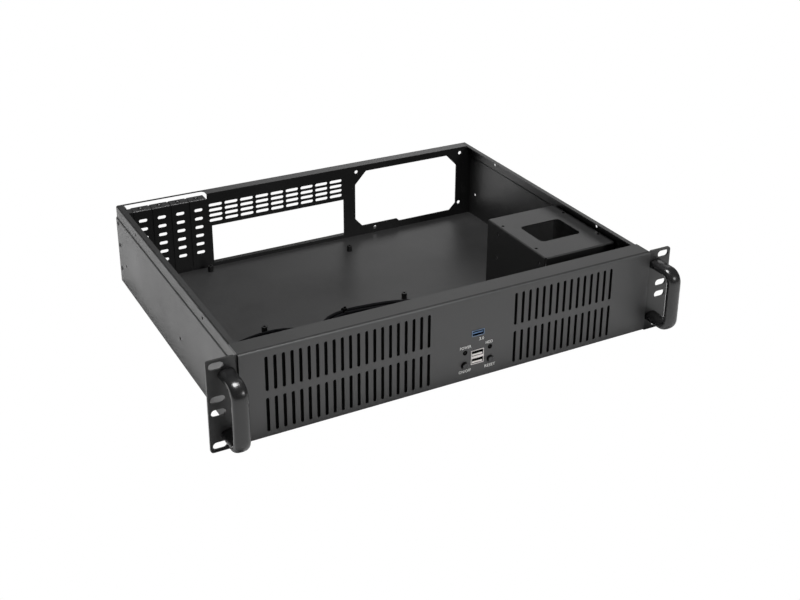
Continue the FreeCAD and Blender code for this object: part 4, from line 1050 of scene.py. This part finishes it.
# %% Tie round the cables
TIE_X = (-38.3, -35.6)
TIE_OUTER = (-12.5, -1.6, 1.2, 7.3)
TIE_BAND, TIE_CORNER, CORNER_STEPS = 0.8, 2.9, 8
TIE_HEAD = (-38.9, -35.2, -10.6, -6.4, 6.4, 9.4)
TIE_TAIL = (-38.0, -35.9, -9.0, -8.1, 9.4, 11.2)


def rounded_outline(inset):
    """Points of the tie's outline in the YZ plane, moved in by an inset."""
    y0, y1, z0, z1 = TIE_OUTER
    radius = TIE_CORNER - inset
    points = []
    for corner, (y, z) in enumerate(((y1 - TIE_CORNER, z1 - TIE_CORNER),
                                     (y0 + TIE_CORNER, z1 - TIE_CORNER),
                                     (y0 + TIE_CORNER, z0 + TIE_CORNER),
                                     (y1 - TIE_CORNER, z0 + TIE_CORNER))):
        for step in range(CORNER_STEPS + 1):
            angle = math.pi / 2 * (corner + step / CORNER_STEPS)
            points.append((y + radius * math.cos(angle), z + radius * math.sin(angle)))
    return points


def band_ring(mesh, x0, x1):
    """Adds the band to a bmesh: four rings of corners, joined all round."""
    outside, inside = rounded_outline(0.0), rounded_outline(TIE_BAND)
    rings = [[mesh.verts.new(Vector((x, y, z)) * MM) for y, z in outline]
             for outline, x in ((outside, x0), (outside, x1), (inside, x1), (inside, x0))]
    for ring, following in zip(rings, rings[1:] + rings[:1]):
        join_rings(mesh, ring, following, smooth=False)


tie = bmesh.new()
band_ring(tie, *TIE_X)
bmesh.ops.recalc_face_normals(tie, faces=tie.faces)
add_box(tie, *TIE_HEAD)
add_box(tie, *TIE_TAIL)
band = new_piece("lead_tie_band", finished_mesh("lead_tie_band", tie, tie_nylon))
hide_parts("lead_tie")
print("tie", len(band.data.polygons), "faces")

# %% [markdown]
# Each lead ends in a small housing. The lead runs into its back, ribs for fingertips
# cross its top, and thin near-black boxes on its front stand for its square sockets, as
# painted shade. The boxes are laid out in the lead's own directions: along it, across it and
# up.

# %% Shape of a plug
PLUG_LOW, PLUG_EASE, PLUG_BEVEL = 0.35, 0.1, 0.22
STEP_AT, STEP_DROP = 0.62, 0.5
RAIL, RAIL_END, RAIL_DROP = 0.5, 0.5, 0.9
KEY_AT, KEY_END, KEY_HALF, KEY_FOOT, KEY_RISE = 0.7, 0.3, 0.12, 0.02, 0.3
RIB_COUNT, RIB_START, RIB_PITCH, RIB_WIDTH, RIB_INSET = 4, 1.4, 1.5, 0.7, 1.2
RIB_FOOT, RIB_HEAD = 0.8, 0.15
SOCKET_HALF, SOCKET_PITCH, ROW_PITCH = 0.6, 2.2, 2.54
SOCKET_BACK, SOCKET_FRONT = 0.12, 0.02


def plug_body(width, height, length):
    """Boxes of a housing: a body with a step, two side rails, a key and its ribs."""
    half, side, end = width / 2, width / 2 - PLUG_EASE, length - PLUG_EASE
    rail_end, rail_top = length * RAIL_END, height - RAIL_DROP
    boxes = [(0.0, end, -side, side, PLUG_LOW, height - STEP_DROP),
             (length * STEP_AT, end, -side, side, PLUG_LOW, height - PLUG_EASE),
             (0.0, rail_end, -half, -half + RAIL, PLUG_EASE, rail_top),
             (0.0, rail_end, half - RAIL, half, PLUG_EASE, rail_top),
             (length * KEY_AT, length - KEY_END, -width * KEY_HALF, width * KEY_HALF,
              KEY_FOOT, PLUG_LOW + KEY_RISE)]
    for rib in range(RIB_COUNT):
        place = RIB_START + rib * RIB_PITCH
        boxes.append((place, place + RIB_WIDTH, -half + RIB_INSET, half - RIB_INSET,
                      height - RIB_FOOT, height - RIB_HEAD))
    return boxes


def plug_socket_shades(height, length, columns, rows):
    """Thin near-black boxes on a housing's front, painted shade that shows as square holes."""
    boxes = []
    for column in range(columns):
        for row in range(rows):
            across = (column - (columns - 1) / 2) * SOCKET_PITCH
            up = (height + PLUG_LOW) / 2 + (row - (rows - 1) / 2) * ROW_PITCH
            boxes.append((length - SOCKET_BACK, length - SOCKET_FRONT, across - SOCKET_HALF,
                          across + SOCKET_HALF, up - SOCKET_HALF, up + SOCKET_HALF))
    return boxes


print("plug shape ready")

# %% [markdown]
# The last two points of a lead's route say where its plug is and which way it points.
# A plug's row is its width, height and length, and its columns and rows of sockets.
# The plug's pieces are listed with their lead, and the tie with the thicker of the two
# cables that it holds.

# %% Plugs
PLUG_FLOOR = 1.15
PLUGS = {"panel_leads": (12.7, 5.2, 14.0, 5, 1), "usb3_lead": (24.0, 7.6, 17.0, 10, 2),
         "usb2_lead": (13.0, 5.6, 15.0, 5, 2)}
for node, (width, height, length, columns, rows) in PLUGS.items():
    (xa, ya, _), (xb, yb, _) = ROUTES[node][-2:]
    end = Vector((xb, EAR_FACE_Y + yb, PLUG_FLOOR)) * MM
    place = Matrix.Translation(end) @ Matrix.Rotation(math.atan2(yb - ya, xb - xa), 4, "Z")
    housing = boxes_piece(node + "_housing", plug_body(width, height, length), black,
                          place, PLUG_BEVEL)
    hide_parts(node + "_plug")
    # The socket boxes are near-black, painted shade that shows as holes.
    sockets = boxes_piece(node + "_sockets", plug_socket_shades(height, length, columns, rows),
                          black_and_painted_shade, place=place)
    parts = [housing, sockets] + ([band] if node == "usb3_lead" else [])
    print(node, "plug", len(housing.data.polygons), "faces")

# %% [markdown]
# The words on the front are printed in white: the lamps' and buttons' plain labels
# and the upper port's number. Print is a skin of ink a few hundredths of a
# millimetre thick, so each word is a text turned into a thin mesh on the steel. A
# label's row is its words, the place of its middle, its width and its height.

# %% Printed labels
INK_HALF = 0.02
LABELS = (("3.0", 21.5, 43.2, 5.0, 3.0), ("HDD", 29.9, 37.5, 7.5, 2.9),
          ("POWER", 4.5, 37.7, 12.0, 2.9), ("ON/OFF", 4.3, 12.8, 13.0, 2.9),
          ("RESET", 31.5, 12.6, 11.5, 2.9))


def label_mesh(words, middle_x, middle_z, width, height):
    """Flat word on the bezel, fitted to its width and height."""
    data = bpy.data.curves.new("word", "FONT")
    data.body = words
    data.resolution_u = 3
    data.extrude = INK_HALF * MM
    word = new_object("word", data)
    bpy.context.view_layer.update()
    mesh = bpy.data.meshes.new_from_object(word)
    bpy.data.objects.remove(word)
    xs = [v.co.x for v in mesh.vertices]
    ys = [v.co.y for v in mesh.vertices]
    across = width * MM / (max(xs) - min(xs))
    upward = height * MM / (max(ys) - min(ys))
    for vertex in mesh.vertices:
        x, y, depth = vertex.co
        vertex.co = (middle_x * MM + (x - (max(xs) + min(xs)) / 2) * across,
                     (BEZEL_Y - INK_HALF) * MM - depth,
                     middle_z * MM + (y - (max(ys) + min(ys)) / 2) * upward)
    return mesh


labels = new_piece("front_labels", joined([label_mesh(*row) for row in LABELS], "front_labels"))
finish(labels, ink)
print("labels", len(labels.data.polygons), "faces")

# %% [markdown]
# The floor is a plain pale sheet and the world an even light. Both show as pure white
# to the camera, as the picture's background does, through the Light Path node. To
# everything else the floor is pale paint that takes light and the world is dim.

# %% Floor and world
FLOOR_REACH, FLOOR_DROP = 6.0, 0.0002
FLOOR_COLOUR, WHITE = (0.8, 0.8, 0.8, 1.0), (1.0, 1.0, 1.0, 1.0)
WORLD_STRENGTH = 0.1


def stage_floor():
    """Pale floor that the camera sees as white."""
    corners = [(x * FLOOR_REACH, y * FLOOR_REACH, -FLOOR_DROP)
               for x, y in ((-1, -1), (1, -1), (1, 1), (-1, 1))]
    mesh = bpy.data.meshes.new("floor")
    mesh.from_pydata(corners, [], [(0, 1, 2, 3)])
    floor = new_object("floor", mesh)
    material = bpy.data.materials.new("floor_white")
    material.use_nodes = True
    tree = material.node_tree
    tree.nodes.clear()
    seen = Wire(tree, tree.nodes.new("ShaderNodeLightPath").outputs["Is Camera Ray"])
    diffuse = seen.node("ShaderNodeBsdfDiffuse", {"Color": FLOOR_COLOUR})
    glow = seen.node("ShaderNodeEmission", {"Color": WHITE, "Strength": 1.0})
    mixed = seen.node("ShaderNodeMixShader", {"Fac": seen, 1: diffuse, 2: glow})
    out = tree.nodes.new("ShaderNodeOutputMaterial")
    tree.links.new(mixed.socket, out.inputs["Surface"])
    finish(floor, material)


def stage_world(strength):
    """World light: white to the camera, and a dimmer even light on the object."""
    world = bpy.data.worlds.new("studio")
    bpy.context.scene.world = world
    world.use_nodes = True
    tree = world.node_tree
    background = tree.nodes["Background"]
    background.inputs["Color"].default_value = WHITE
    seen = Wire(tree, tree.nodes.new("ShaderNodeLightPath").outputs["Is Camera Ray"])
    level = seen * (1.0 - strength) + strength
    tree.links.new(level.socket, background.inputs["Strength"])


stage_floor()
stage_world(WORLD_STRENGTH)
bpy.context.scene.view_settings.view_transform = "Standard"
print("floor and world ready")

# %% [markdown]
# Black steel shows its shape by what it reflects, so three lamps do the rest. A round
# one overhead lights the tops and the floor, which lights the front in turn. A wide,
# soft one far behind at the right gives upward faces a slow change of tone from left
# to right. A small, weak one at the front right puts the sparks on the handles' bends.

# %% Lamps
CASE_MIDDLE = (0.0, 0.0, 0.05)


def area_lamp(name, place, width, depth, watts):
    """Soft lamp that points at the case; equal sides make it round."""
    data = bpy.data.lights.new(name, "AREA")
    data.shape = "DISK" if width == depth else "RECTANGLE"
    data.size, data.size_y = width, depth
    data.energy = watts
    lamp = new_object(name, data)
    lamp.location = place
    lamp.rotation_mode = "QUATERNION"
    lamp.rotation_quaternion = (Vector(CASE_MIDDLE) - Vector(place)).to_track_quat("-Z", "Y")
    print(name, watts, "W")


area_lamp("lamp_top", (-0.1, 0.1, 1.7), 0.85, 0.85, 46.0)
area_lamp("lamp_back_right", (1.55, 2.0, 1.15), 1.4, 1.0, 4.6)
area_lamp("lamp_front_right", (0.95, -1.72, 0.95), 0.45, 0.45, 9.0)
